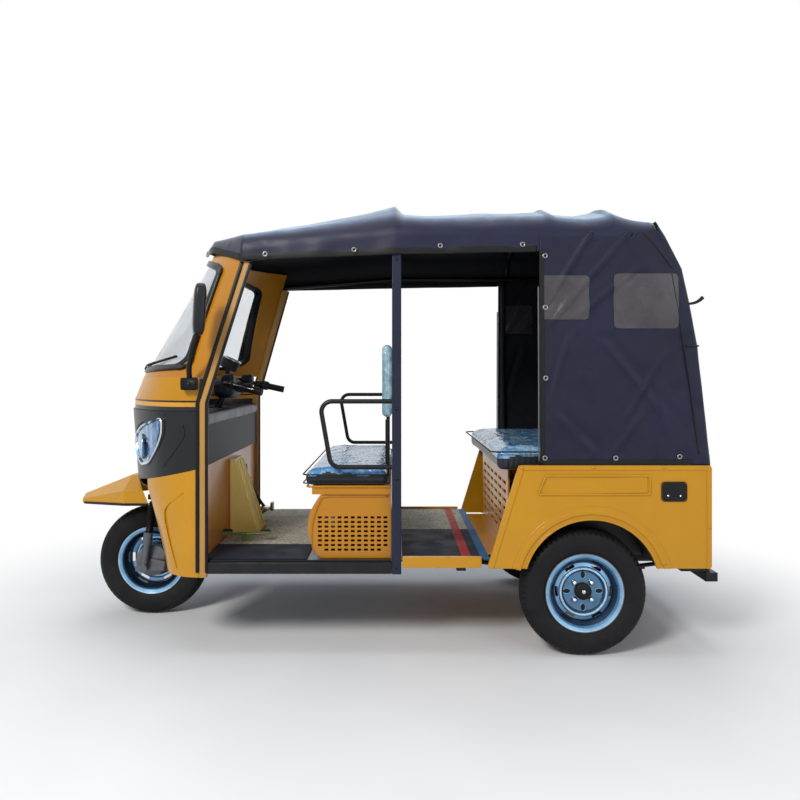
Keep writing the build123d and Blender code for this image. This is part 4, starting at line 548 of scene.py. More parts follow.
def wheelMaterial(name, centre):
    # silver blue enamel with painted shade and painted highlights in rings round the axle: dark bands in the
    # grooves, bright bands on the lips and the flange; the hub cap and the drum behind the disc in black
    made, tree, shader = newMaterial(name, Metallic=0.8, Coat_Roughness=0.1)
    shader.inputs["Coat Weight"].default_value = 0.25
    colour = tone(84, 124, 158)
    # rings of painted shade and painted highlight: dark where the disc dips into grooves, pale blue and near
    # white on the lips and flange; the first ring is the black hub cap
    for low, high, ring in ((0.0, 0.036, (24, 26, 30)), (0.086, 0.094, (54, 84, 112)),
                            (0.094, 0.1045, (176, 208, 232)),
                            (0.1045, 0.122, (112, 158, 194)), (0.122, 0.143, (34, 54, 76)),
                            (0.152, 0.162, (126, 172, 208)),
                            (0.162, 0.175, (164, 196, 220))):
        colour = mixColour(tree, radiusMask(tree, centre, low, high)[0], colour, tone(*ring))
    shade = useGroup(tree, "drift", Colour=colour, Drift=0.22, Size=16.0, Ripple=160.0)
    film = useGroup(tree, "dust", Colour=shade.outputs["Colour"], Dust=tone(90, 90, 92), Amount=0.15,
                    Low=0.2, High=0.4)
    capMask, across = radiusMask(tree, centre, -1.0, 0.0365)
    drumMask, _ = radiusMask(tree, centre, 0.034, 0.1)
    reach = mathNode(tree, "ABSOLUTE", across)
    outer = mathNode(tree, "GREATER_THAN", reach, 0.0178)
    inner = mathNode(tree, "LESS_THAN", reach, 0.0137)
    cap = mathNode(tree, "MULTIPLY", capMask, outer)
    drum = mathNode(tree, "MULTIPLY", drumMask, inner)
    black = mathNode(tree, "MAXIMUM", cap, drum)
    final = mixColour(tree, black, film.outputs["Colour"], tone(20, 20, 22))
    roughness = stepValue(tree, shade.outputs["Drift"], 0.3, 0.7, 0.28, 0.4)
    finishMaterial(tree, shader, final, roughness, shade.outputs["Height"], 0.05, 0.001)
    return made


# side is the cloth's own navy; shoulder and crown are a painted sky reflection, pale blue on the shoulders and
# palest on the crown
canopyLook = {
    "side": (19, 22, 50), "shoulder": (56, 80, 114), "crown": (150, 180, 198),
    "threads": 520.0, "rough": 0.4, "skySheenLow": 0.58, "skySheenHigh": 0.88, "crownLow": 0.84, "crownHigh": 1.0,
}


def clothHeight(tree, weave, crease):
    # fine threads over the larger creases
    threads = mathNode(tree, "MULTIPLY", weave.outputs["Height"], 0.12)
    return mathNode(tree, "ADD", threads, mathNode(tree, "MULTIPLY", crease.outputs["Height"], 0.4))


def canopyMaterial(name, look):
    # coated cloth: dark where it hangs, with a painted sky reflection in pale blue where it faces up and palest
    # on the crown, and its weave on the cut
    made, tree, shader = newMaterial(name, Specular_IOR_Level=0.3, Sheen_Weight=0.5, Sheen_Roughness=0.35)
    shade = useGroup(tree, "drift", Colour=tone(*look["side"]), Drift=0.18, Size=5.0, Ripple=140.0)
    weave = useGroup(tree, "weave", Threads=look["threads"])
    crease = useGroup(tree, "crinkle", Size=9.0, Warp=0.2)
    # painted sky reflection: pale where the cloth faces up, broken into streaks along its length
    upward = facingParts(tree)["Z"]
    place = objectPlace(tree)
    drawn = addNode(tree, "ShaderNodeMapping", {"Vector": place, "Scale": (1.4, 5.0, 5.0)}).outputs[0]
    cloud = addNode(tree, "ShaderNodeTexNoise", {"Vector": drawn, "Scale": 1.6, "Detail": 2.0}).outputs["Fac"]
    streaks = mathNode(tree, "MULTIPLY", mathNode(tree, "SUBTRACT", cloud, 0.5), 0.25)
    level = mathNode(tree, "ADD", upward, streaks)
    sky = stepValue(tree, level, look["skySheenLow"], look["skySheenHigh"])
    top = stepValue(tree, level, look["crownLow"], look["crownHigh"])
    colour = mixColour(tree, sky, shade.outputs["Colour"], tone(*look["shoulder"]))
    colour = mixColour(tree, top, colour, tone(*look["crown"]))
    roughness = stepValue(tree, crease.outputs["Height"], 0.0, 1.3, look["rough"] * 0.85, look["rough"] * 1.2)
    finishMaterial(tree, shader, colour, roughness, clothHeight(tree, weave, crease), 0.35, 0.0015)
    return made


def hoodMaterial():
    # the rear cover's cloth: dark navy, dusty low down, with a painted sheen in pale blue on the slope that
    # faces up and to the rear
    made, tree, shader = newMaterial("hoodCloth", Specular_IOR_Level=0.25)
    shade = useGroup(tree, "drift", Colour=tone(21, 23, 46), Drift=0.2, Size=4.0, Ripple=140.0)
    film = useGroup(tree, "dust", Colour=shade.outputs["Colour"], Dust=tone(40, 40, 56), Amount=0.3, Low=0.8,
                    High=1.4)
    weave = useGroup(tree, "weave", Threads=520.0)
    crease = useGroup(tree, "crinkle", Size=7.0, Warp=0.25)
    parts = facingParts(tree)
    # painted sheen: a pale blue band where the cloth faces up and to the rear
    rearSheenMask = mathNode(tree, "MULTIPLY", stepValue(tree, parts["Z"], 0.34, 0.52),
                        stepValue(tree, parts["X"], 0.4, 0.7))
    withRearSheen = mixColour(tree, rearSheenMask, film.outputs["Colour"], tone(96, 126, 150))
    roughness = stepValue(tree, crease.outputs["Height"], 0.0, 1.3, 0.42, 0.6)
    finishMaterial(tree, shader, withRearSheen, roughness, clothHeight(tree, weave, crease), 0.4, 0.0015)
    return made


def filmMaterial(name, colour, white, glintShare, rough=0.16, size=26.0, coat=0.35):
    # crinkled clear film over a darker cushion: pale blue, with painted white glints in patches where it
    # crinkles, dark where it lies flat
    made, tree, shader = newMaterial(name, IOR=1.5, Specular_IOR_Level=0.3)
    shader.inputs["Coat Weight"].default_value = coat
    shader.inputs["Coat Roughness"].default_value = 0.08
    crease = useGroup(tree, "crinkle", Size=size, Warp=0.12)
    wide = useGroup(tree, "crinkle", Size=size * 0.4, Warp=0.25)
    shade = useGroup(tree, "drift", Colour=tone(*colour), Drift=0.15, Size=9.0, Ripple=200.0)
    # painted highlight: white glints mixed in over crinkled patches
    pale = mixColour(tree, mathNode(tree, "MULTIPLY", wide.outputs["Mask"], glintShare), shade.outputs["Colour"],
                     tone(*white))
    roughness = stepValue(tree, crease.outputs["Height"], 0.0, 1.3, rough * 0.7, rough * 1.8)
    height = mathNode(tree, "ADD", crease.outputs["Height"], mathNode(tree, "MULTIPLY",
                                                                      wide.outputs["Height"], 1.5))
    finishMaterial(tree, shader, pale, roughness, height, 0.6, 0.004)
    return made


def axisMask(tree, axis, low, high):
    # 1 between two places along an axis of the object
    place = objectPlace(tree)
    along = addNode(tree, "ShaderNodeSeparateXYZ", {0: place}).outputs[axis]
    return mathNode(tree, "MULTIPLY", mathNode(tree, "GREATER_THAN", along, low), mathNode(tree, "LESS_THAN",
                                                                                           along, high))


def stripedMat():
    # one mat with painted light and shade: pale speckled where sunlight falls on the far side, painted shadow in
    # dark navy by the door, and a red and a blue band at the passengers' feet
    made, tree, shader = newMaterial("floorMat", Specular_IOR_Level=0.25)
    shade = useGroup(tree, "drift", Colour=tone(26, 31, 46), Drift=0.15, Size=9.0, Ripple=120.0)
    place = objectPlace(tree)
    parts = addNode(tree, "ShaderNodeSeparateXYZ", {0: place})
    along, across = parts.outputs["X"], parts.outputs["Y"]
    specks = addNode(tree, "ShaderNodeTexNoise", {"Vector": place, "Scale": 95.0, "Detail": 5.0,
                                                  "Roughness": 0.8}).outputs["Fac"]
    pale = mixColour(tree, stepValue(tree, specks, 0.38, 0.62), tone(138, 134, 118), tone(206, 205, 192))
    # the line between painted sunlight on the far side and the roof's painted shadow by the door
    edge = mathNode(tree, "ADD", mathNode(tree, "MULTIPLY", mathNode(tree, "GREATER_THAN", along, 0.04),
                                          0.33), -0.312)
    sunlitSide = mathNode(tree, "GREATER_THAN", across, edge)
    colour = mixColour(tree, sunlitSide, shade.outputs["Colour"], pale)
    for low, high, band in ((0.353, 0.394, (176, 58, 56)), (0.434, 0.471, (52, 110, 158))):
        bandHere = axisMask(tree, "X", low, high)
        colour = mixColour(tree, mathNode(tree, "MULTIPLY", bandHere, 0.85), colour, tone(*band))
    ribs = mathNode(tree, "SINE", mathNode(tree, "MULTIPLY", across, 700.0))
    roughness = stepValue(tree, shade.outputs["Drift"], 0.3, 0.7, 0.6, 0.8)
    finishMaterial(tree, shader, colour, roughness, mathNode(tree, "ADD", ribs, specks), 0.3, 0.001)
    return made


def bandedPaint(name, axis, bands, start, rough=0.32, coat=0.15):
    # enamel whose colour changes at places along one axis: bands holds (place, colour above it)
    made, tree, shader = newMaterial(name, Coat_Roughness=0.12, Specular_IOR_Level=0.3)
    shader.inputs["Coat Weight"].default_value = coat
    colour = tone(*start)
    for place, above in bands:
        colour = mixColour(tree, axisMask(tree, axis, place, 9.0), colour, tone(*above))
    shade = useGroup(tree, "drift", Colour=colour, Drift=0.08, Size=4.0, Ripple=180.0)
    roughness = stepValue(tree, shade.outputs["Drift"], 0.3, 0.7, rough * 0.85, rough * 1.15)
    finishMaterial(tree, shader, shade.outputs["Colour"], roughness, shade.outputs["Height"], 0.08, 0.001)
    return made


def cowlMaterial():
    # the mask's dark foot, a bright strip, a dark groove and the yellow cowl above it
    return bandedPaint("cowlPaint", "Z", [(1.067, (212, 150, 44)), (1.086, (14, 12, 10)),
                                          (1.094, (188, 130, 16))], (24, 27, 30))


def panMaterial():
    # the floor pan: black beside the driver and yellow behind the pillar
    return bandedPaint("panPaint", "X", [(0.092, (184, 122, 20))], (14, 16, 22))


def innerMaterial():
    # the apron's yellow darkened to brown-orange as painted shade, with a paler column cover that stands out
    # from it
    made, tree, shader = newMaterial("innerYellow", Coat_Roughness=0.15)
    shader.inputs["Coat Weight"].default_value = 0.25
    cover = mathNode(tree, "MULTIPLY", axisMask(tree, "X", -0.756, 9.0), axisMask(tree, "Y", -0.12, 0.12))
    # painted shade: the apron's yellow is given in a shaded brown-orange
    colour = mixColour(tree, cover, tone(186, 116, 46), tone(252, 226, 128))
    shade = useGroup(tree, "drift", Colour=colour, Drift=0.08, Size=5.0, Ripple=160.0)
    roughness = stepValue(tree, shade.outputs["Drift"], 0.3, 0.7, 0.32, 0.44)
    finishMaterial(tree, shader, shade.outputs["Colour"], roughness, shade.outputs["Height"], 0.08, 0.001)
    return made


def bowlMaterial():
    # the lamp's bowl: plated, with painted reflections in blue, dark and white streaks
    made, tree, shader = newMaterial("lampBowl", Metallic=0.9)
    place = objectPlace(tree)
    stretched = addNode(tree, "ShaderNodeMapping", {"Vector": place, "Scale": (30.0, 30.0, 7.0)}).outputs[0]
    streaks = addNode(tree, "ShaderNodeTexNoise", {"Vector": stretched, "Scale": 1.0,
                                                   "Detail": 3.0}).outputs["Fac"]
    # painted reflection: blue, dark and white streaks on the plating
    blue = mixColour(tree, stepValue(tree, streaks, 0.40, 0.52), tone(24, 46, 72), tone(96, 158, 206))
    colour = mixColour(tree, stepValue(tree, streaks, 0.55, 0.64), blue, tone(226, 236, 244))
    finishMaterial(tree, shader, colour, stepValue(tree, streaks, 0.3, 0.7, 0.1, 0.24), streaks, 0.3, 0.003)
    return made


yellow = (196, 138, 12)
paints = {
    "body": paintMaterial("bodyYellow", yellow, rough=0.3, coat=0.18, drift=0.05, dust=0.05, low=0.3,
                          high=0.6),
    "cab": paintMaterial("cabYellow", (184, 122, 20), rough=0.32, coat=0.15, drift=0.06, dust=0.04, low=0.3,
                         high=0.6),
    "cream": innerMaterial(),
    "post": paintMaterial("postYellow", (180, 134, 66), rough=0.34, coat=0.15, drift=0.06),
    "black": paintMaterial("frameBlack", (13, 14, 19), rough=0.36, coat=0.0, drift=0.15, dust=0.04, low=0.25,
                           high=0.55),
    "rails": paintMaterial("roofTubeBlack", (12, 12, 15), rough=0.35, coat=0.0, drift=0.15),
    "steel": paintMaterial("damperSteel", (96, 98, 104), rough=0.35, coat=0.2, metal=0.6, drift=0.1,
                           dust=0.2),
    "bright": paintMaterial("brightSteel", (205, 207, 212), rough=0.16, coat=0.2, metal=1.0, drift=0.05,
                            bump=0.02),
    "engine": paintMaterial("engineMetal", (60, 60, 62), rough=0.5, coat=0.0, metal=0.7, drift=0.2, dust=0.3),
    "olive": paintMaterial("controlOlive", (112, 126, 66), rough=0.4, coat=0.3, drift=0.1),
    "mask": pebbleMaterial("maskPlastic", (27, 30, 33), rough=0.34, grain=520.0, bump=0.1, drift=0.1),
    "dash": pebbleMaterial("dashPlastic", (20, 25, 38), rough=0.55, grain=420.0, bump=0.2),
    "rubber": pebbleMaterial("sealRubber", (9, 9, 13), rough=0.3, grain=600.0, bump=0.06),
    "grip": pebbleMaterial("gripRubber", (18, 18, 20), rough=0.6, grain=300.0, bump=0.3),
    "vinyl": pebbleMaterial("seatVinyl", (38, 42, 48), rough=0.4, grain=380.0, bump=0.3, drift=0.12,
                            sheen=0.1),
    "trim": pebbleMaterial("blackTrim", (11, 11, 13), rough=0.5, grain=500.0, bump=0.15),
    "tyre": tyreMaterial(),
    "canopy": canopyMaterial("canopyCloth", canopyLook),
    "hood": hoodMaterial(),
    "lining": pebbleMaterial("clothLining", (26, 26, 31), rough=0.7, grain=300.0, bump=0.2),
    "mat": stripedMat(),
    "screen": glassMaterial("screenGlass", (226, 230, 234), rough=0.01),
    "lens": glassMaterial("lampLens", (236, 242, 248), rough=0.03),
    "film": filmMaterial("cushionFilm", (76, 142, 194), (206, 228, 242), 0.5),
    "restFilm": filmMaterial("backrestFilm", (128, 166, 180), (196, 218, 224), 0.6, size=18.0),
    "pane": filmMaterial("coverPane", (66, 62, 66), (76, 72, 76), 0.3, rough=0.4, size=4.0, coat=0.1),
    "cowl": cowlMaterial(),
    "pillar": paintMaterial("pillarNavy", (22, 28, 50), rough=0.36, coat=0.0, drift=0.15, dust=0.04,
                            low=0.25, high=0.55),
    "dashGloss": paintMaterial("dashGloss", (26, 38, 62), rough=0.42, coat=0.1, drift=0.3, size=9.0),
    "lip": paintMaterial("ovalLip", (120, 160, 192), rough=0.3, coat=0.2, metal=0.6, drift=0.1),
    "pan": panMaterial(),
    "lampBowl": bowlMaterial(),
    "red": paintMaterial("tailRed", (150, 18, 20), rough=0.16, coat=0.8, drift=0.05, bump=0.02),
    "amber": paintMaterial("tailAmber", (205, 98, 20), rough=0.16, coat=0.8, drift=0.05, bump=0.02),
    "cord": pebbleMaterial("seamCord", (30, 30, 36), rough=0.6, grain=700.0, bump=0.3),
    "eyelet": paintMaterial("eyeletMetal", (150, 148, 146), rough=0.3, coat=0.1, metal=0.9, drift=0.1),
}
print("materials made:", len(bpy.data.materials))


canopy = {
    "stations": [-0.858, -0.775, -0.600, 0.063, 0.996, 1.180],
    "half": [0.156, 0.360, 0.574, 0.612, 0.612, 0.608],
    "foot": [1.782, 1.771, 1.702, 1.722, 1.737, 1.737],
    "eave": [1.788, 1.777, 1.740, 1.800, 1.800, 1.782],
    "crown": [1.812, 1.847, 1.884, 1.978, 1.978, 1.872],
    "corner": [0.018, 0.056, 0.090, 0.100, 0.100, 0.084],
    "rows": 260, "across": 150, "leg": 14, "wall": 0.0035,
    "bows": [0.063, 0.723, 0.996, 1.165], "sag": 0.007, "wrinkle": 0.0012,
    "liftAt": [-0.86, -0.80, -0.66, -0.60, -0.45, -0.25, -0.05, 0.045, 0.063, 0.10, 0.20, 0.45, 0.62, 0.700,
               0.723, 0.76, 0.88,
               0.97, 0.996, 1.06, 1.18],
    "lift": [0.0, -0.010, -0.020, -0.010, 0.006, 0.016, 0.026, 0.036, 0.040, 0.004, -0.002, 0.012, 0.010,
             0.012, 0.024, 0.004, -0.002,
             0.010, 0.026, 0.018, 0.004],
}


def archShape(half, eave, crown, corner, foot, count, leg):
    # a three centred arch over its half width, closed below by upright legs: (across, height) arrays
    depth = crown - eave
    crownRadius = (half**2 + depth**2 - 2 * half * corner) / (2 * (depth - corner))
    turn = np.arctan2(crownRadius - depth, half - corner)
    arcs = np.array([corner * turn, crownRadius * (np.pi / 2 - turn)])
    at = np.linspace(0, arcs.sum(), count)
    onCorner = at < arcs[0]
    angle = np.where(onCorner, at / corner, turn + (at - arcs[0]) / crownRadius)
    across = np.where(onCorner, half - corner + corner * np.cos(angle), crownRadius * np.cos(angle))
    height = np.where(onCorner, corner * np.sin(angle), depth - crownRadius + crownRadius * np.sin(angle))
    legRise = np.linspace(foot, eave, leg, endpoint=False)
    right = np.stack([np.concatenate([np.full(leg, half), across]),
                      np.concatenate([legRise, eave + height])], 1)
    return np.vstack([right, (right[:-1] * [-1, 1])[::-1]])


def canopyGrid(look):
    # the arch carried from the windscreen to the rear slope; it sags between its bows, stands full at its
    # shoulders by the lift of its station, and wrinkles across
    at = np.linspace(look["stations"][0], look["stations"][-1], look["rows"])
    values = [np.interp(at, look["stations"], look[key]) for key in ("half", "eave", "crown", "corner",
                                                                     "foot")]
    outline = np.array([archShape(h, e, c, k, f, look["across"] // 2, look["leg"]) for h, e, c, k,
                        f in zip(*values)])
    grid = np.stack([np.broadcast_to(at[:, None], outline.shape[:2]), outline[..., 0], outline[..., 1]], -1)
    bows = np.array(look["bows"])
    behind = np.clip(np.searchsorted(bows, at) - 1, 0, len(bows) - 2)
    share = np.clip((at - bows[behind]) / (bows[behind + 1] - bows[behind]), 0, 1)
    front = np.clip((at - look["stations"][2]) / (bows[0] - look["stations"][2]), 0, 1)
    dip = np.where(at < bows[0], np.sin(np.pi * front) * 0.6, np.sin(np.pi * share)) * look["sag"]
    lift = np.clip((grid[..., 2] - 1.80) / 0.06, 0, 1)
    grid[..., 2] -= dip[:, None] * lift
    share = np.clip(np.abs(grid[..., 1]) / np.interp(at, look["stations"], look["half"])[:, None], 0, 1)
    grid[..., 2] += np.interp(at, look["liftAt"], look["lift"])[:, None] * np.sin(np.pi * share**1.6) * lift
    across = np.arctan2(grid[..., 1], 0.7)
    fold = np.sin(grid[..., 0] * 21 + np.abs(across) * 16) * np.sin(grid[..., 0] * 8 + 1.0) * look["wrinkle"]
    grid[..., 2] += fold * lift + unevenness(grid, 5, 0.7, 0.0018, layers=2) * lift
    hang = np.clip((1.80 - grid[..., 2]) / 0.08, 0, 1)
    ripple = np.sin(grid[..., 0] * 17 + 0.7) * 0.004 + np.sin(grid[..., 0] * 41) * 0.0015
    grid[..., 1] += np.sign(grid[..., 1]) * (ripple * hang - 0.002 * hang)
    return grid


def cutLengths(grid):
    # the cloth's own cut: metres along the rows and along the columns from the first corner
    down = np.linalg.norm(np.diff(grid, axis=0), axis=2).mean(1)
    over = np.linalg.norm(np.diff(grid, axis=1), axis=2).mean(0)
    u = np.concatenate([[0], np.cumsum(down)])
    v = np.concatenate([[0], np.cumsum(over)])
    return np.stack(np.meshgrid(u, v, indexing="ij"), -1)


def sheetWall(piece, wall, lining):
    # the sheet's thickness lies inside it, and its inner face takes the lining's colour
    piece.data.materials.append(lining)
    skin = piece.modifiers.new("wall", "SOLIDIFY")
    skin.thickness, skin.offset = wall, -1.0
    skin.material_offset, skin.material_offset_rim = 1, 0
    return piece


def flipToward(piece, outward):
    # an open sheet has its faces turned so that they look along outward at its middle
    mesh = piece.data
    normals = np.empty(len(mesh.polygons) * 3)
    mesh.polygons.foreach_get("normal", normals)
    if normals.reshape(-1, 3).mean(0) @ np.asarray(outward, float) < 0:
        mesh.flip_normals()
    return piece


def canopySheet():
    grid = canopyGrid(canopy)
    uv = cutLengths(grid)
    centre = (grid[1:, 1:] + grid[:-1, :-1]) / 2
    drop = (centre[..., 0] > 0.700) & (centre[...,
                                              2] < 1.778)  # behind the door the rear cover comes up over it
    piece = surfacePiece("canopyRoof", grid, paints["canopy"], closed=False, drop=drop, uv=uv)
    flipToward(piece, (0, 0, 1))
    sheetWall(piece, canopy["wall"], paints["lining"])
    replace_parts(piece, "canopy_roof")
    return grid


canopyShape = canopySheet()
canopyHem = {"width": 0.028, "front": 0.006}


def canopyHems():
    # a folded hem along both feet and a black bead round the front edge
    for name, column in (("Left", -1), ("Right", 0)):
        foot = canopyShape[6:, column]
        foot = foot[foot[:, 0] < 0.676].copy()
        foot[:, 2] += 0.012
        foot[:, 1] -= np.sign(foot[:, 1]) * 0.0015
        sweepPiece("canopyHem" + name, foot[::2], slabSection(0.006, canopyHem["width"], 0.0026),
                   paints["trim"])
    front = canopyShape[0].copy()
    front[:, 0] += 0.004
    sweepPiece("canopyFrontBead", front, roundSection(canopyHem["front"], 8), paints["trim"], up=(1, 0, 0))


canopyHems()

eyelets = {
    "radius": 0.0085, "wire": 0.0024,
    "valance": [(-0.493, 1.722), (-0.112, 1.739), (0.256, 1.756), (0.607, 1.761)],
    "edge": [(0.701, 1.711), (0.701, 1.491), (0.701, 1.191), (0.697, 0.853), (0.996, 0.853), (1.266, 0.859)],
}


def hoodHalfAt(height):
    # the rear cover's half width at a height
    return np.interp(height, [0.822, 1.326, 1.659, 1.800, 1.872], [0.634, 0.628, 0.617, 0.6145, 0.606])


def ringRow(name, places, side, halfAt):
    # small metal rings set in the cloth
    rings = []
    for number, (x, z) in enumerate(places):
        angle = np.linspace(0, 2 * np.pi, 20, endpoint=False)
        tube = np.linspace(0, 2 * np.pi, 8, endpoint=False)
        radius = eyelets["radius"] + eyelets["wire"] * np.cos(tube)[None, :]
        grid = np.stack([x + radius * np.cos(angle)[:, None], np.broadcast_to(
            side * (halfAt(z) + 0.0006) + side * eyelets["wire"] * 0.5 * np.sin(tube)[None, :], (20, 8)),
            z + radius * np.sin(angle)[:, None]], -1)
        rings.append(surfacePiece(f"ring{name}{number}", grid, paints["eyelet"], closeRows=True,
                                  closeColumns=True))
    return joinedPiece(name, rings)


for sideName, side in sides:
    ringRow("valanceEyelets" + sideName, eyelets["valance"], side,
            lambda z: float(np.interp(z, [1.70, 1.74, 1.76], [0.592, 0.611, 0.612])))
    ringRow("coverEyelets" + sideName, eyelets["edge"], side, lambda z: float(hoodHalfAt(z)) + 0.004)

hood = {
    "height": [0.8223, 1.326, 1.659, 1.800, 1.872], "half": [0.634, 0.628, 0.617, 0.6145, 0.606],
    "rear": [1.408, 1.358, 1.293, 1.2212, 1.1803], "front": 0.679, "corner": 0.030, "wall": 0.003,
    "rows": 150, "columns": 316, "sideRun": 110, "cornerRun": 16,
    "folds": [(0.893, 1.799, 0.714, 1.517, 0.007), (1.052, 1.799, 0.722, 1.423, 0.006), (1.073, 1.641, 0.863,
                                                                                         1.470, 0.006),
              (1.197, 1.277, 1.052, 1.033, 0.006), (1.105, 1.033, 0.996, 0.883, 0.005), (0.800, 1.360, 0.720,
                                                                                         1.080, 0.005),
              (0.960, 1.330, 1.180, 1.060, 0.005), (0.760, 1.020, 0.930, 0.850, 0.005)],
    "windows": [(0.693, 0.879, 1.450, 1.618), (1.003, 1.257, 1.412, 1.626)], "rearWindow": (-0.330, 0.330,
                                                                                            1.400, 1.610),
}


def hoodGrid(look):
    # plan sections with two rounded rear corners, stacked from the tub up to the canopy
    heights = np.linspace(look["height"][0], look["height"][-1], look["rows"])
    half = np.interp(heights, look["height"], look["half"])
    rear = np.interp(heights, look["height"], look["rear"])
    corner, front = look["corner"], look["front"]
    sideRun, cornerRun = look["sideRun"], look["cornerRun"]
    backRun = look["columns"] - 2 * sideRun - 2 * cornerRun
    t = np.linspace(0, 1, sideRun, endpoint=False)
    turn = np.linspace(0, np.pi / 2, cornerRun, endpoint=False)
    w = np.linspace(0, 1, backRun)
    grid = np.empty((look["rows"], look["columns"], 3))
    gridX, gridY = grid[..., 0], grid[..., 1]
    backX, sideY = (rear - corner)[:, None], (half - corner)[:, None]
    gridX[:, :sideRun] = front + (backX - front) * t
    gridY[:, :sideRun] = -half[:, None]
    gridX[:, sideRun:sideRun + cornerRun] = backX + corner * np.sin(turn)
    gridY[:, sideRun:sideRun + cornerRun] = -sideY - corner * np.cos(turn)
    middle = slice(sideRun + cornerRun, sideRun + cornerRun + backRun)
    gridX[:, middle] = rear[:, None]
    gridY[:, middle] = -sideY + 2 * sideY * w
    last = slice(middle.stop, middle.stop + cornerRun)
    gridX[:, last] = backX + corner * np.cos(turn)
    gridY[:, last] = sideY + corner * np.sin(turn)
    gridX[:, last.stop:] = backX + (front - backX) * np.linspace(0, 1, look["columns"] - last.stop)
    gridY[:, last.stop:] = half[:, None]
    grid[..., 2] = heights[:, None]
    return grid


def hoodPush(grid, look):
    # how far the cover's cloth stands out: ridges along folds, a slow unevenness, a slight hollow
    push = np.zeros(grid.shape[:-1])
    x, z = grid[..., 0], grid[..., 2]
    for x0, z0, x1, z1, height in look["folds"]:
        way = np.array([x1 - x0, z1 - z0])
        length = np.hypot(*way)
        way /= length
        along = (x - x0) * way[0] + (z - z0) * way[1]
        off = -(x - x0) * way[1] + (z - z0) * way[0]
        inside = np.clip(np.minimum(along + 0.05, length + 0.05 - along) / 0.06, 0, 1)
        push += height * np.exp(-(off / 0.014) ** 2) * inside - height * 0.6 * np.exp(-((off - 0.03)
            / 0.022) ** 2) * inside
    push += unevenness(grid, 11, 0.55, 0.0045, stretch=(1, 0.3, 1))
    return push - 0.004 * np.sin(np.pi * np.clip((z - 0.83) / 1.0, 0, 1))


def hoodEdge(x, z, look):
    # 0 along the cover's front edge, foot and head, and 1 inside them
    ahead, foot = np.clip((x - look["front"]) / 0.05, 0, 1), np.clip((z - 0.822) / 0.05, 0, 1)
    return ahead * foot * np.clip((1.872 - z) / 0.06, 0, 1)


def hoodOut(x, z):
    # the finished cover's half width at a point of its side
    half = hoodHalfAt(z)
    edge = hoodEdge(x, z, hood)
    left = hoodPush(np.stack([x, -half, z], -1), hood) * edge
    right = hoodPush(np.stack([x, half, z], -1), hood) * edge
    return half + np.maximum(left, right)


def hoodShaped(grid, look):
    # folds are ridges along lines; the cloth hollows a little between its edges and stays flat at them
    side = np.clip((np.abs(grid[..., 1]) - 0.55) / 0.03, 0, 1)
    push = hoodPush(grid, look)
    x, z = grid[..., 0], grid[..., 2]
    edge = hoodEdge(x, z, look)
    shaped = grid.copy()
    shaped[..., 1] += np.sign(grid[..., 1]) * push * side * edge
    shaped[..., 0] += (push * 0.8) * (1 - side) * edge
    return shaped


def hoodSheet():
    grid = hoodShaped(hoodGrid(hood), hood)
    uv = cutLengths(grid)
    centre = (grid[1:, 1:] + grid[:-1, :-1]) / 2
    x, y, z = centre[..., 0], centre[..., 1], centre[..., 2]
    drop = np.zeros(x.shape, bool)
    for x0, x1, z0, z1 in hood["windows"]:
        drop |= (np.abs(y) > 0.57) & (x > x0) & (x < x1) & (z > z0) & (z < z1)
    y0, y1, z0, z1 = hood["rearWindow"]
    drop |= (x > 1.1) & (y > y0) & (y < y1) & (z > z0) & (z < z1)
    half = np.interp(x, canopy["stations"], canopy["half"])
    roofAt = np.interp(x, [0.6, 0.996, 1.18], [1.800, 1.800, 1.782])
    crownAt = np.interp(x, [0.6, 0.996, 1.18], [1.978, 1.978, 1.872])
    inside = 1 - np.clip(np.abs(y) / half, 0, 1) ** 3.2
    under = roofAt + (crownAt - roofAt) * np.clip(inside, 0, 1)
    drop |= (x < 1.185) & (np.abs(y) < half + 0.004) & (z > roofAt - 0.004) & (z < under + 0.4)
    piece = surfacePiece("rearCover", grid, paints["hood"], closed=False, drop=drop, uv=uv)
    flipToward(piece, (1, 0, 0))
    sheetWall(piece, hood["wall"], paints["lining"])
    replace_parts(piece, "rear_cover")


hoodSheet()


def roundPane(name, corners, place, outward):
    # rings shrink from a rounded outline to its middle; place(across, height) puts each point on the cover
    outline = cornerPath([(u, v, 0) for u, v in corners], 0.022, closed=True)[:, :2]
    middle = outline.mean(0)
    flat = middle + np.linspace(1.0, 0.0, 12)[:, None, None] * (outline - middle)[None]
    piece = surfacePiece(name, place(flat[..., 0], flat[..., 1]), paints["pane"], closeColumns=True)
    return flipToward(piece, outward)


def coverPanes():
    # window film welded over each opening; it ripples a little
    for sideName, side in sides:
        for number, (x0, x1, z0, z1) in enumerate(hood["windows"]):
            corners = [(x0 - 0.010, z0 - 0.010), (x1 + 0.010, z0 - 0.010), (x1 + 0.010, z1 + 0.010),
                       (x0 - 0.010, z1 + 0.010)]

            def onSide(x, z, side=side):
                ripple = unevenness(np.stack([x, z, x * 0], -1), 17, 0.2, 0.0008)
                out = hoodOut(x, z) + 0.0022 + ripple
                return np.stack([x, side * out, z], -1)

            roundPane(f"coverPane{sideName}{number}", corners, onSide, (0, side, 0))
    y0, y1, z0, z1 = hood["rearWindow"]

    def onRear(y, z):
        return np.stack([np.interp(z, hood["height"], hood["rear"]) + 0.004
                         + unevenness(np.stack([y, z, y * 0], -1), 21, 0.3, 0.0008), y, z], -1)

    roundPane("coverPaneRear", [(y0 - 0.01, z0 - 0.01), (y1 + 0.01, z0 - 0.01), (y1 + 0.01, z1 + 0.01),
                                (y0 - 0.01, z1 + 0.01)],
              onRear, (1, 0, 0))
    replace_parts(bpy.data.objects["coverPaneRear"], "cover_windows")


coverPanes()


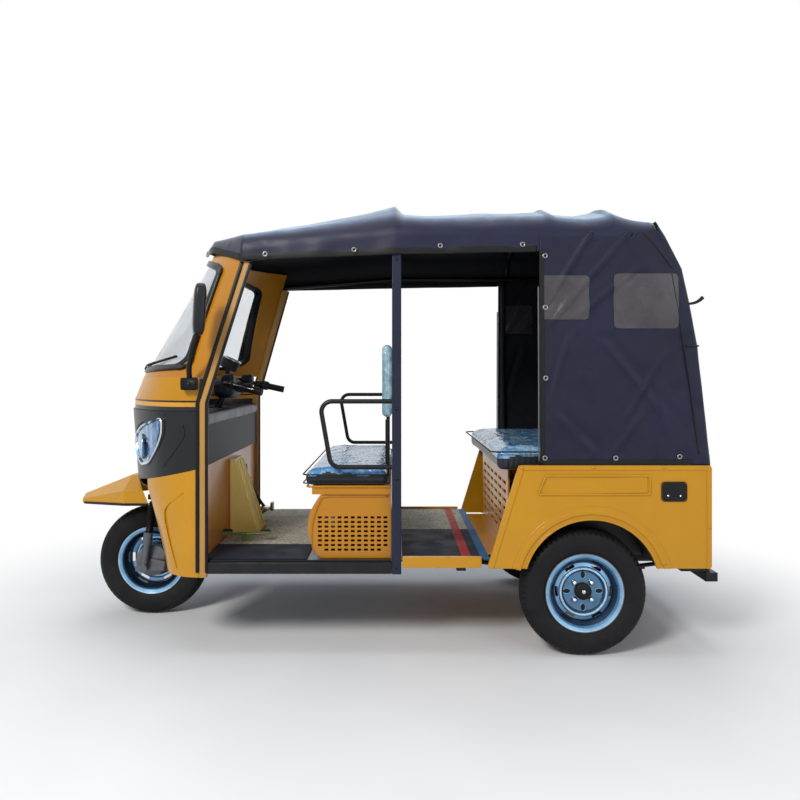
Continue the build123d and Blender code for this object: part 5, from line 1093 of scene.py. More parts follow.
def coverSeams():
    # seams at the rear corners, slope and waist, the bar and hem at the front edge, and the foot's hem
    for sideName, side in sides:
        seams = {
            "Corner": [(1.238, 1.641), (1.301, 1.251), (1.350, 0.870)],
            "Slope": [(1.124, 1.808), (1.180, 1.745), (1.247, 1.655)],
        }
        for name, points in seams.items():
            path = smoothPath([(x, side * (float(hoodHalfAt(z)) + 0.001), z) for x, z in points], 70)
            sweepPiece(f"coverSeam{name}{sideName}", path, roundSection(0.0035, 8), paints["cord"])
        z = np.linspace(0.840, 1.581, 60)
        bar = np.stack([np.full(60, 0.6725), side * (hoodHalfAt(z) - 0.002), z], 1)
        sweepPiece(f"coverBar{sideName}", bar, slabSection(0.004, 0.006, 0.0015), paints["steel"],
                   up=(1, 0, 0))
        z = np.linspace(0.826, 1.735, 80)
        hem = np.stack([np.full(80, 0.687), side * (hoodHalfAt(z) + 0.001), z], 1)
        sweepPiece(f"coverHem{sideName}", hem, slabSection(0.005, 0.02, 0.002), paints["trim"], up=(1, 0, 0))
        foot = np.stack([np.linspace(0.682, 1.318, 60), np.full(60, side * 0.6352), np.full(60, 0.834)], 1)
        sweepPiece(f"coverFootHem{sideName}", foot, slabSection(0.004, 0.024, 0.0016), paints["trim"])
    ring = cornerPath([(1.30, -0.6295, 1.328), (1.3572, -0.6295, 1.328), (1.3572, 0.6295, 1.328),
                       (1.30, 0.6295, 1.328)], 0.03)
    sweepPiece("coverWaistSeam", ring, roundSection(0.0035, 8), paints["cord"])


coverSeams()
print("canopy and rear cover made")


def softBox(centre, size, corner, crown, count=40):
    # a rounded box as a superellipsoid shell whose large faces crown outwards
    u, v = np.meshgrid(np.linspace(0, 2 * np.pi, count * 2, endpoint=False),
                       np.linspace(-np.pi / 2, np.pi / 2, count), indexing="ij")

    def power(value, share):
        return np.sign(value) * np.abs(value) ** share

    x = power(np.cos(v), corner) * power(np.cos(u), corner)
    y = power(np.cos(v), corner) * power(np.sin(u), corner)
    z = power(np.sin(v), corner)
    half = np.asarray(size) / 2
    bulge = 1 + crown * (1 - x**2) * (1 - y**2) * np.sign(z) * z
    return np.stack([centre[0] + x * half[0], centre[1] + y * half[1], centre[2] + z * half[2] * bulge], -1)


def cushionShape(name, low, high, rounding):
    # a closed box between two corners with rounded edges, cut fine enough to swell
    corners = np.array([(x, y, z) for x in (0, 1) for y in (0, 1) for z in (0, 1)], float)
    points = np.asarray(low) + corners * (np.asarray(high) - np.asarray(low))
    quads = [(0, 1, 3, 2), (4, 6, 7, 5), (0, 4, 5, 1), (2, 3, 7, 6), (0, 2, 6, 4), (1, 5, 7, 3)]
    mesh = bpy.data.meshes.new(name)
    mesh.from_pydata(points.tolist(), [], quads)
    work = bmesh.new()
    work.from_mesh(mesh)
    bmesh.ops.recalc_face_normals(work, faces=work.faces)
    bmesh.ops.bevel(work, geom=list(work.edges), offset=rounding, segments=4, affect="EDGES", profile=0.5)
    work.to_mesh(mesh)
    work.free()
    return linkedObject(name, mesh)


def evaluatedMesh(piece):
    bpy.context.view_layer.update()
    shown = piece.evaluated_get(bpy.context.evaluated_depsgraph_get())
    return bpy.data.meshes.new_from_object(shown)


def swell(piece, voxel, pressure, cap):
    # the shell is remeshed, blown up by cloth pressure, held near its start and kept flat where it rests
    remesh = piece.modifiers.new("voxels", "REMESH")
    remesh.mode, remesh.voxel_size = "VOXEL", voxel
    mesh = evaluatedMesh(piece)
    piece.modifiers.clear()
    piece.data = mesh
    start = meshPoints(mesh)
    cloth = piece.modifiers.new("cloth", "CLOTH")
    cloth.settings.use_pressure = True
    cloth.settings.uniform_pressure_force = pressure
    cloth.settings.effector_weights.gravity = 0
    cloth.settings.quality = 4
    scene = bpy.context.scene
    for frameNumber in range(1, 21):
        scene.frame_set(frameNumber)
    blown = evaluatedMesh(piece)
    piece.modifiers.clear()
    scene.frame_set(1)
    step = meshPoints(blown) - start
    length = np.linalg.norm(step, axis=1)
    step *= np.minimum(1, cap / np.maximum(length, 1e-9))[:, None]
    foot = start[:, 2].min()
    step[:, 2] = np.where(start[:, 2] < foot + 0.012, np.maximum(step[:, 2], 0), step[:, 2])
    setPoints(mesh, start + step)
    mesh.polygons.foreach_set("use_smooth", [True] * len(mesh.polygons))
    return piece


def heldIn(piece, low, high):
    # no point leaves the cushion's own room
    setPoints(piece.data, np.clip(meshPoints(piece.data), np.asarray(low), np.asarray(high)))


cushions = {
    "driverCushion": {"low": (-0.336, -0.558, 0.7236), "high": (0.040, 0.558, 0.786), "round": 0.022,
                      "voxel": 0.008,
                      "pressure": 4.0, "cap": 0.014, "fill": 0.7, "replaces": "driver_cushion", "grow": 0.004,
                      "roof": 0.812, "material": "film", "filmEdge": 0.772},
    "driverBackrest": {"low": (0.004, -0.254, 0.996), "high": (0.046, 0.254, 1.357), "round": 0.018,
                       "voxel": 0.006,
                       "pressure": 4.0, "cap": 0.010, "fill": 0.7, "replaces": "driver_backrest",
                       "grow": 0.003,
                       "roof": 1.366, "material": "restFilm"},
    "passengerCushion": {"low": (0.498, -0.570, 0.7906), "high": (1.004, 0.570, 0.880), "round": 0.028,
                         "voxel": 0.009,
                         "pressure": 4.0, "cap": 0.016, "fill": 0.7, "replaces": "passenger_cushion",
                         "grow": 0.004,
                         "roof": 0.905, "material": "film", "filmEdge": 0.846},
    "passengerBackrest": {"low": (1.018, -0.570, 0.794), "high": (1.086, 0.570, 1.322), "round": 0.026,
                          "voxel": 0.009,
                          "pressure": 4.0, "cap": 0.014, "fill": 0.7, "replaces": "passenger_backrest",
                          "grow": 0.004,
                          "roof": 1.335, "material": "vinyl"},
}


def makeCushion(name, look):
    piece = cushionShape(name, look["low"], look["high"], look["round"])
    swell(piece, look["voxel"], look["pressure"], look["cap"])
    low = np.array(look["low"]) - look["grow"]
    high = np.array(look["high"]) + look["grow"]
    low[2], high[2] = look["low"][2], look["roof"]
    heldIn(piece, low, high)
    mesh = piece.data
    points = meshPoints(mesh)
    if look["material"] == "film":
        crown = look["filmEdge"] + 0.003
        lift = np.clip((points[:, 2] - crown) / 0.015, 0, 1)
        points[:, 2] += unevenness(points, 31, 0.11, 0.0045, layers=3) * lift
        side = np.clip((np.abs(points[:, 1]) - 0.545) / 0.01, 0, 1) * np.clip((crown + 0.010 - points[:, 2])
                                                                              / 0.02, 0, 1)
        points[:, 1] -= np.sign(points[:, 1]) * side * (0.003 + 0.003 * np.sin(points[:, 0] * 260))
    setPoints(mesh, points)
    mesh.materials.clear()
    mesh.materials.append(paints[look["material"]])
    if look["material"] == "film":
        mesh.materials.append(paints["vinyl"])
        middle = np.empty(len(mesh.polygons) * 3)
        mesh.polygons.foreach_get("center", middle)
        middle = middle.reshape(-1, 3)
        edge = look["filmEdge"] + 0.006 * np.sin(middle[:, 0] * 23) + 0.004 * np.sin(middle[:, 0] * 61
                                                                                     + middle[:, 1] * 17)
        low = middle[:, 2] < edge
        mesh.polygons.foreach_set("material_index", np.where(low, 1, 0))
    mesh.update()
    smooth = piece.modifiers.new("smooth", "SUBSURF")
    smooth.levels = smooth.render_levels = 1
    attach(piece, "chassis")
    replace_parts(piece, look["replaces"])
    return piece


for name, look in cushions.items():
    makeCushion(name, look)
print("cushions made")


def pipedSeams():
    # corded seams round the cushions' upper and lower edges
    z = cushions["driverCushion"]["roof"] - 0.040
    rim = cornerPath([(-0.338, -0.561, z), (0.042, -0.561, z), (0.042, 0.561, z), (-0.338, 0.561, z)], 0.035,
                     closed=True)
    sweepPiece("driverCushionPiping", rim, roundSection(0.0032, 8), paints["cord"], closed=True)
    z = 0.735
    rim = cornerPath([(-0.337, -0.560, z), (0.041, -0.560, z), (0.041, 0.560, z), (-0.337, 0.560, z)], 0.03,
                     closed=True)
    sweepPiece("driverCushionLowPiping", rim, roundSection(0.0028, 8), paints["cord"], closed=True)
    z = 0.872
    rim = cornerPath([(0.479, -0.572, z), (1.007, -0.572, z), (1.007, 0.572, z), (0.479, 0.572, z)], 0.04,
                     closed=True)
    sweepPiece("passengerCushionPiping", rim, roundSection(0.0035, 8), paints["cord"], closed=True)
    x = 1.017
    rim = cornerPath([(x, -0.572, 0.82), (x, 0.572, 0.82), (x, 0.572, 1.32), (x, -0.572, 1.32)], 0.04,
                     closed=True)
    sweepPiece("passengerBackPiping", rim, roundSection(0.0035, 8), paints["cord"], up=(1, 0, 0), closed=True)


pipedSeams()


tyreLook = {
    "profile": [(0.153, 0.044), (0.165, 0.049), (0.176, 0.0535), (0.190, 0.0580), (0.206, 0.0606),
                (0.222, 0.0604),
                (0.238, 0.0585), (0.250, 0.0545), (0.2585, 0.0475), (0.2645, 0.0385), (0.2690, 0.0270),
                (0.2715, 0.0140),
                (0.2725, 0.0)],
    "around": 640, "grooveDepth": 0.0045, "pitch": 64,
}


def makeTyre(name, centre, body, node):
    # the section is turned about the axle; grooves zigzag round the tread and blocks notch the shoulders
    profile = np.array(tyreLook["profile"])
    knots = smoothPath(np.column_stack([profile, np.zeros(len(profile))]), 44)[:, :2]
    section = np.vstack([knots, (knots[:-1] * [1, -1])[::-1]])
    angle = np.linspace(0, 2 * np.pi, tyreLook["around"], endpoint=False)
    radius = np.broadcast_to(section[:, 0], (len(angle), len(section))).copy()
    across = np.broadcast_to(section[:, 1], radius.shape).copy()
    turn = angle[:, None] * tyreLook["pitch"]
    zigzag = 0.0035 * (2 / np.pi) * np.arcsin(np.sin(turn))
    tread = np.clip((radius - 0.2655) / 0.003, 0, 1)
    groove = np.zeros_like(radius)
    for line in (-0.021, 0.0, 0.021):
        groove = np.maximum(groove, np.clip(1 - np.abs(across - line - zigzag) / 0.0026, 0, 1))
    notch = np.clip((np.cos(turn) - 0.55) / 0.2, 0, 1) * np.clip((np.abs(across) - 0.030) / 0.004, 0, 1)
    shoulder = np.clip((radius - 0.250) / 0.006, 0, 1)
    cut = np.maximum(groove * tread, notch * shoulder) * tyreLook["grooveDepth"]
    rib = 0.0012 * np.exp(-((radius - 0.180) / 0.0022) ** 2) + 0.001 * np.exp(-((radius - 0.240)
                                                                                / 0.002) ** 2)
    across = across + np.sign(across) * rib * (np.abs(across) > 0.02)
    radius = radius - cut
    grid = np.stack([centre[0] + radius * np.cos(angle)[:, None], centre[1] + across,
                     centre[2] + radius * np.sin(angle)[:, None]], -1)
    piece = surfacePiece(name, grid, paints["tyre"], body, closeRows=True, closeColumns=True)
    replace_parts(piece, node)
    return piece


wheelDetail = {"ovals": 4, "ovalRadius": 0.070, "ovalLong": 0.0155, "ovalWide": 0.0105, "nutRadius": 0.052,
               "nut": 0.0098}


def wheelTrim(name, centre, body, facing, face):
    # flat dark ovals over the openings as painted shade, with pressed lips, four wheel nuts and a domed cap with
    # a bright centre
    look, lips, shadeOvals, nuts = wheelDetail, [], [], []
    x, y, z = centre
    around = np.linspace(0, 2 * np.pi, 36, endpoint=False)
    for number in range(look["ovals"]):
        turn = number * np.pi / 2
        outward, along = np.array([np.cos(turn), 0, np.sin(turn)]), np.array([-np.sin(turn), 0, np.cos(turn)])
        middle = np.array([x, y + facing * (face + 0.0004), z]) + outward * look["ovalRadius"]
        edge = (outward * (np.cos(around) * look["ovalLong"])[:, None]
                + along * (np.sin(around) * look["ovalWide"])[:, None])
        grid = middle + np.linspace(0.0, 1.0, 6)[:, None, None] * edge[None]
        # a flat dark oval on the disc's face: painted shade for the opening's dark inside
        shadeOval = surfacePiece(f"{name}hole{number}", grid, paints["trim"], body, closeColumns=True)
        shadeOvals.append(flipToward(shadeOval, (0, facing, 0)))
        lips.append(sweepPiece(f"{name}lip{number}", middle + edge * 1.08, roundSection(0.0016, 8),
                               paints["lip"], body,
                               up=(0, 1, 0), closed=True))
        turn += np.pi / 4
        seat = (x + look["nutRadius"] * np.cos(turn), y + facing * face, z + look["nutRadius"] * np.sin(turn))
        size = look["nut"]
        profile = [(0.0, 0.0185), (size * 0.45, 0.0175), (size * 0.86, 0.0125), (size, 0.0115),
                   (size, 0.003), (size * 1.35, 0.0)]
        nuts.append(lathePiece(f"{name}nut{number}", [(r, facing * a) for r, a in profile] + [(0.0, 0.0)],
                               paints["bright"],
                               body, seat, count=12))
    joinedPiece(name + "Ovals", shadeOvals)
    joinedPiece(name + "OvalLips", lips)
    joinedPiece(name + "Nuts", nuts)
    cap = [(0.0, 0.0205), (0.010, 0.0200), (0.024, 0.0190), (0.032, 0.0165), (0.0355, 0.011),
           (0.0365, 0.001), (0.0, 0.001)]
    lathePiece(name + "Cap", [(r, facing * a) for r, a in cap], paints["trim"], body, (x, y + facing * face,
                                                                                       z))
    boss = [(0.0, 0.0222), (0.008, 0.0215), (0.0095, 0.020), (0.0, 0.020)]
    lathePiece(name + "CapCentre", [(r, facing * a) for r, a in boss], paints["bright"], body,
               (x, y + facing * face, z), count=6)


rearY = 0.555
wheels = {
    "front": {"centre": (-1.161, 0.0, 0.273), "body": "front_wheel", "tyre": "front_tyre",
              "rim": "front_rim"},
    "rearLeft": {"centre": (0.873, -rearY, 0.273), "body": "rear_wheel_left", "tyre": "rear_tyre_left",
                 "rim": "rear_rim_left"},
    "rearRight": {"centre": (0.873, rearY, 0.273), "body": "rear_wheel_right", "tyre": "rear_tyre_right",
                  "rim": "rear_rim_right"},
}
for name, wheel in wheels.items():
    makeTyre(name + "Tyre", wheel["centre"], wheel["body"], wheel["tyre"])
    tidyCopy(wheel["rim"], name + "Rim", wheelMaterial(name + "WheelPaint", wheel["centre"]), bevel=0.0009,
             angle=24)
    facing = 1 if wheel["centre"][1] >= 0 else -1
    x, y, z = wheel["centre"]
    edge = [(0.1675, 0.0535), (0.1695, 0.0545), (0.1695, 0.0565), (0.1675, 0.0570), (0.1655, 0.0555)]
    lathePiece(name + "RimBead", [(r, facing * a) for r, a in edge], paints["steel"], wheel["body"],
               (x, y, z))
    wheelTrim(name, wheel["centre"], wheel["body"], facing, 0.0183)
    valve = np.array([(x + 0.138, y + facing * 0.036, z + 0.03), (x + 0.136, y + facing * 0.046, z + 0.029)])
    sweepPiece(name + "Valve", smoothPath(valve, 6), roundSection(0.003, 8), paints["trim"], wheel["body"])
print("wheels made")


def mirrorBlocks():
    # the foot blocks on the cowl's corners, left and right in one piece
    blocks = []
    for side in (-1, 1):
        y = np.array([side * (0.540 + 0.085 * k / 6) for k in range(7)])
        path = np.stack([np.full(7, -0.815), y, np.full(7, 1.1665)], 1)
        blocks.append(sweepPiece(f"block{side}", path, slabSection(0.066, 0.053, 0.008), paints["trim"]))
    return joinedPiece("mirrorBlocks", blocks)


tidied = [
    ("nose_mask", "noseMask", "mask", 0.0015, 40), ("nose_cheeks", "noseCheeks", "body", 0.0015, 40),
    ("cowl", "cowlShell", "cowl", 0.0015, 40), ("front_mudguard", "frontMudguard", "body", 0.004, 20),
    ("windscreen_frame", "windscreenFrame", "cab", 0.0015, 40), ("windscreen_seal", "windscreenSeal",
                                                                 "rubber", 0.001, 40),
    ("windscreen_glass", "windscreenGlass", "screen", 0.0, 40), ("door_posts", "doorPosts", "post", 0.002,
                                                                 20),
    ("dash", "dashShelf", "dash", 0.002, 30),
    ("inner_apron", "innerApron", "cream", 0.0015, 25), ("driver_seat_box", "driverSeatBox", "cab", 0.0009,
                                                         30),
    ("b_pillars", "bPillars", "pillar", 0.003, 30), ("grab_rails", "grabRails", "black", 0.0, 40),
    ("roof_frame", "roofRails", "rails", 0.0, 40), ("roof_bows", "roofBows", "rails", 0.0, 40),
    ("tub_side_left", "tubSideLeft", "body", 0.0015, 30), ("tub_side_right", "tubSideRight", "body", 0.0015,
                                                           30),
    ("wheel_housings", "wheelHousings", "black", 0.0012, 40), ("rear_frame", "rearFrame", "body", 0.002, 30),
    ("tailgate", "tailgateDoor", "body", 0.002, 30), ("passenger_bench", "passengerBench", "cab", 0.0009, 30),
    ("front_sills", "frontSills", "black", 0.003, 30), ("rear_sills", "rearSills", "body", 0.002, 30),
    ("headlamp_bezels", "headlampBezels", "lampBowl", 0.0008, 30), ("headlamp_lenses", "headlampLenses",
                                                                    "lens", 0.0, 40),
    ("rear_bumper", "rearBumper", "black", 0.004, 30), ("fork", "frontFork", "black", 0.001, 35),
    ("front_dampers", "frontDampers", "steel", 0.0006, 35), ("leading_links", "leadingLinks", "steel", 0.001,
                                                             35),
    ("handlebar", "handleBar", "trim", 0.0006, 35), ("grips", "grips", "grip", 0.001, 35),
    ("foot_controls", "footControls", "olive", 0.0012, 30), ("leaf_springs", "leafSprings", "black", 0.0008,
                                                             30),
    ("rear_axle", "rearAxle", "black", 0.001, 35), ("wheel_well", "wheelWell", "black", 0.001, 35),
    ("front_frame", "frontFrame", "black", 0.002, 30), ("tail_lamps", "tailLamps", "red", 0.003, 30),
]
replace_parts(mirrorBlocks(), "mirrors")
for node, name, paint, bevel, angle in tidied:
    tidyCopy(node, name, paints[paint], bevel, angle)
for node, paint in (("propeller_shaft", "black"), ("engine", "engine"), ("chassis_rails", "black"),
                    ("crossmembers", "black"),
                    ("floor_pan", "pan"), ("floor_mats", "mat"), ("tow_lug", "black")):
    dressNode(node, paints[paint])
print("carried nodes dressed")

post = {"x": -0.777, "depth": 0.032, "half": 0.600, "bend": 1.085, "lean": 0.296, "foot": 0.336,
        "top": 1.700, "topHalf": 0.551}


def postPath(ahead, out, low=0.36, high=1.695, count=120):
    # a line along the door post: upright to the bend, then leaning back and in
    z = np.linspace(low, high, count)
    rise = np.maximum(z - post["bend"], 0)
    x = post["x"] + rise * post["lean"] + ahead
    half = post["half"] - rise / (post["top"] - post["bend"]) * (post["half"] - post["topHalf"])
    return x, half + out, z


def postTrim(name, side):
    # black rubber down both edges of the post
    for word, ahead, wide in (("Front", -0.005, 0.016), ("Rear", 0.034, 0.013)):
        x, half, z = postPath(ahead, 0.001)
        path = np.stack([x, side * half, z], 1)
        sweepPiece(f"{name}{word}", path, slabSection(wide, 0.012, 0.004), paints["rubber"], up=(0, side, 0))


bothSides(postTrim, "postTrim")


def screenSurface(across, z):
    # the windscreen's bowed surface: an arc through the posts and the nose at each height
    share = (z - 1.1953) / (1.788 - 1.1953)
    nose = -1.184 + share * 0.350
    half = 0.592 - share * 0.049
    back = -0.7773 + np.maximum(z - 1.085, 0) * 0.296
    rise = back - nose
    radius = (half**2 + rise**2) / (2 * rise)
    return nose + radius - np.sqrt(np.maximum(radius**2 - across**2, 0))


def onScreen(points, lift):
    # (across, height) points laid on the windscreen, lifted off it forwards
    points = np.asarray(points, float)
    return np.stack([screenSurface(points[:, 0], points[:, 1]) - lift, points[:, 0], points[:, 1]], 1)


def screenTrim():
    # the rubber seal round the glass
    foot = np.stack([np.linspace(-0.53, 0.53, 40), 1.2275 + 0.014 * (np.linspace(-1, 1, 40) ** 2)], 1)
    sideUp = np.stack([np.linspace(0.545, 0.470, 20), np.linspace(1.262, 1.668, 20)], 1)
    head = np.stack([np.linspace(0.43, -0.43, 40), 1.755 - 0.062 * (np.linspace(-1, 1, 40) ** 2)], 1)
    sideDown = sideUp[::-1] * [-1, 1]
    loop = np.vstack([foot, sideUp, head, sideDown])
    path = smoothPath(onScreen(loop, 0.004), 420, closed=True)
    sweepPiece("screenRubber", path, slabSection(0.030, 0.014, 0.005), paints["rubber"], up=(-1, 0, 0.5),
               closed=True)


screenTrim()


def wiper(name, side):
    # a blade low on the glass, on an arm from a pivot in the seal
    pivot, tip = (side * 0.14, 1.236), (side * 0.36, 1.262)
    arm = onScreen([pivot, ((pivot[0] + tip[0]) / 2, 1.252), tip], 0.020)
    sweepPiece(name + "Arm", smoothPath(arm, 24), slabSection(0.008, 0.005, 0.002), paints["trim"],
               up=(-1, 0, 0.4))
    blade = onScreen([(side * 0.22, 1.249), tip, (side * 0.485, 1.288)], 0.010)
    sweepPiece(name + "Blade", smoothPath(blade, 24), slabSection(0.006, 0.012, 0.002), paints["trim"],
               up=(-1, 0, 0.4))
    boss = onScreen([pivot], 0.010)[0]
    lathePiece(name + "Boss", [(0.0, 0.012), (0.008, 0.011), (0.010, 0.008), (0.010, -0.004), (0.0, -0.004)],
               paints["trim"], "chassis", boss, axis=(-1, 0, 0.4), count=24)


bothSides(wiper, "wiper")


mirrorLook = {"centre": (-0.747, 0.700, 1.476), "size": (0.052, 0.112, 0.216), "turn": 0.30, "lean": 0.05}


def mirrorHead(name, side):
    # a rounded housing turned towards the driver, its glass, and a stout arm down to the foot block
    look = mirrorLook
    centre = np.array([look["centre"][0], side * look["centre"][1], look["centre"][2]])
    grid = softBox((0, 0, 0), look["size"], 0.5, 0.0)
    turn = side * look["turn"]

    def placed(points):
        x = points[..., 0] * np.cos(turn) + points[..., 1] * np.sin(turn)
        y = -points[..., 0] * np.sin(turn) + points[..., 1] * np.cos(turn)
        return centre + np.stack([x + points[..., 2] * look["lean"], y, points[..., 2]], -1)

    surfacePiece(name, placed(grid), paints["mask"], closeRows=True)
    y, z = np.meshgrid(np.linspace(-1, 1, 30), np.linspace(-1, 1, 40), indexing="ij")
    inset = np.stack([0.0265 - 0.004 * (np.abs(y) ** 4 + np.abs(z) ** 4) / 2,
                      y * 0.040 * np.sqrt(1 - z**2 / 2.6),
                      z * 0.088 * np.sqrt(1 - y**2 / 2.6)], -1)
    flipToward(surfacePiece(name + "Glass", placed(inset), paints["bright"], closed=False), (1, 0, 0))
    arm = smoothPath([(-0.815, side * 0.604, 1.186), (-0.806, side * 0.640, 1.240), (-0.776, side * 0.690,
                                                                                     1.320),
                      centre + [-0.008, 0, -0.095]], 50)
    sweepPiece(name + "Arm", arm, roundSection(0.0115, 14), paints["trim"])


bothSides(mirrorHead, "mirrorHead")


def noseSurface(across, z):
    # how far forward the nose is at a point of its front view: a three centred plan arch at each height
    depth = np.interp(z, [0.337, 0.700, 1.047], [0.246, 0.424, 0.452])
    corner = np.interp(z, [0.337, 0.700, 1.047], [0.180, 0.306, 0.330])
    half = 0.600
    crown = (half**2 + depth**2 - 2 * half * corner) / (2 * (depth - corner))
    y = np.abs(across)
    turn = np.arctan2(crown - depth, half - corner)
    edge = half - corner + corner * np.cos(turn)
    onCrown = depth - crown + np.sqrt(np.maximum(crown**2 - y**2, 0))
    onCorner = np.sqrt(np.maximum(corner**2 - (y - half + corner) ** 2, 0))
    return -0.777 - np.where(y <= edge, onCrown, onCorner)


def onNose(points, lift):
    points = np.asarray(points, float)
    return np.stack([noseSurface(points[:, 0], points[:, 1]) - lift, points[:, 0], points[:, 1]], 1)


lampLeaf = [(0.550, 1.020), (0.425, 0.976), (0.330, 0.935), (0.285, 0.890), (0.320, 0.826), (0.400, 0.796),
            (0.472, 0.814),
            (0.528, 0.885), (0.550, 0.950)]


def lampTrim(name, side):
    # a bright rim on the leaf with a dark gasket, a round reflector and bulb behind the lens, a brow above
    outline = [(side * y, z) for y, z in lampLeaf]
    path = cornerPath(onNose(outline, 0.002), 0.03, closed=True)
    sweepPiece(name + "Rim", path, slabSection(0.009, 0.009, 0.0035), paints["bright"], up=(-1, 0, 0),
               closed=True)
    around = np.array(outline) - np.mean(outline, 0)
    gasket = cornerPath(onNose(np.mean(outline, 0) + around * 1.075, 0.0005), 0.03, closed=True)
    sweepPiece(name + "Gasket", gasket, slabSection(0.007, 0.006, 0.002), paints["rubber"], up=(-1, 0, 0),
               closed=True)
    brow = [(side * y, z) for y, z in ((0.560, 1.034), (0.430, 0.992), (0.330, 0.950), (0.262, 0.898))]
    sweepPiece(name + "Brow", smoothPath(onNose(brow, -0.0005), 60), roundSection(0.0028, 8), paints["trim"],
               up=(-1, 0, 0))
    seat = onNose([(side * 0.395, 0.880)], -0.030)[0]
    bowl = [(0.0, 0.006), (0.020, 0.007), (0.040, 0.013), (0.054, 0.024), (0.058, 0.026), (0.058, 0.024),
            (0.040, 0.009), (0.0, 0.003)]
    lathePiece(name + "Reflector", bowl, paints["bright"], "chassis", seat, axis=(-1, side * 0.35, 0),
               count=48)
    lathePiece(name + "Bulb", [(0.0, 0.024), (0.007, 0.022), (0.008, 0.012), (0.005, 0.004), (0.0, 0.004)],
               paints["lens"],
               "chassis", seat, axis=(-1, side * 0.35, 0), count=24)


bothSides(lampTrim, "headlamp")


def noseLines():
    # pressed creases on the cheeks and the mask, and the rubber lip under the beak
    for sideName, side in sides:
        crease = [(side * 0.592, 0.700), (side * 0.560, 0.640), (side * 0.545, 0.590), (side * 0.552, 0.490),
                  (side * 0.570, 0.370)]
        sweepPiece("cheekCrease" + sideName, smoothPath(onNose(crease, 0.0005), 60), slabSection(0.010,
            0.003, 0.0012),
                   paints["body"], up=(-1, 0, 0))
        fold = [(side * 0.5925, 0.989), (side * 0.5935, 0.942), (side * 0.577, 0.865), (side * 0.551, 0.806)]
        sweepPiece("maskFold" + sideName, smoothPath(onNose(fold, 0.0004), 50), slabSection(0.007, 0.003,
            0.0012), paints["mask"],
                   up=(-1, 0, 0))
    rim = np.array([(-1.110, -0.262, 0.590), (-1.225, -0.262, 0.590), (-1.486, -0.097, 0.572),
                    (-1.486, 0.097, 0.572),
                    (-1.225, 0.262, 0.590), (-1.110, 0.262, 0.590)])
    sweepPiece("beakRim", cornerPath(rim, 0.02), slabSection(0.006, 0.013, 0.0025), paints["rubber"])


noseLines()


def controls():
    # switch pods, flanges at the grips, and the gauge's rim, face, ticks and needle
    for sideName, side in sides:
        a = np.array([-0.640, side * 0.319, 1.1442])
        b = np.array([-0.700, side * 0.309, 1.1570])
        axis = b - a
        lathePiece("switchPod" + sideName, [(0.0, -0.004), (0.019, -0.004), (0.024, 0.004), (0.025, 0.030),
                                            (0.021, 0.044), (0.0, 0.044)],
                   paints["dash"], "fork", a, axis=axis, count=32)
        lathePiece("gripFlange" + sideName, [(0.012, 0.0), (0.024, 0.0), (0.024, 0.005), (0.012, 0.005)],
                   paints["grip"], "fork",
                   np.array([-0.656, side * 0.3165, 1.1476]), axis=axis, count=32)
    tilt = np.array([np.sin(np.radians(25)), 0, np.cos(np.radians(25))])
    foot = np.array([-0.790, 0.0, 1.2375])
    lathePiece("gaugeRim", [(0.044, 0.050), (0.050, 0.050), (0.050, 0.055), (0.044, 0.055)],
               paints["bright"], "fork", foot, axis=tilt, count=48)
    lathePiece("gaugeFace", [(0.0, 0.0505), (0.044, 0.0505), (0.044, 0.0535), (0.0, 0.0535)], paints["trim"],
               "fork", foot, axis=tilt, count=48)
    ring = []
    for number in range(13):
        angle = math.radians(-210 + number * 20)
        first, second = np.array([0.0, 1.0, 0.0]), np.cross(tilt, [0.0, 1.0, 0.0])
        way = first * math.cos(angle) + second * math.sin(angle)
        line = np.array([foot + tilt * 0.0538 + way * 0.033, foot + tilt * 0.0538 + way * 0.040])
        ring.append(sweepPiece(f"tick{number}", line, roundSection(0.0009, 6), paints["bright"], "fork",
                               up=tilt))
    joinedPiece("gaugeTicks", ring)
    line = np.array([foot + tilt * 0.0545, foot + tilt * 0.0545 + np.array([0.024, -0.018, -0.011])])
    sweepPiece("gaugeNeedle", line, roundSection(0.0011, 6), paints["red"], "fork", up=tilt)


controls()


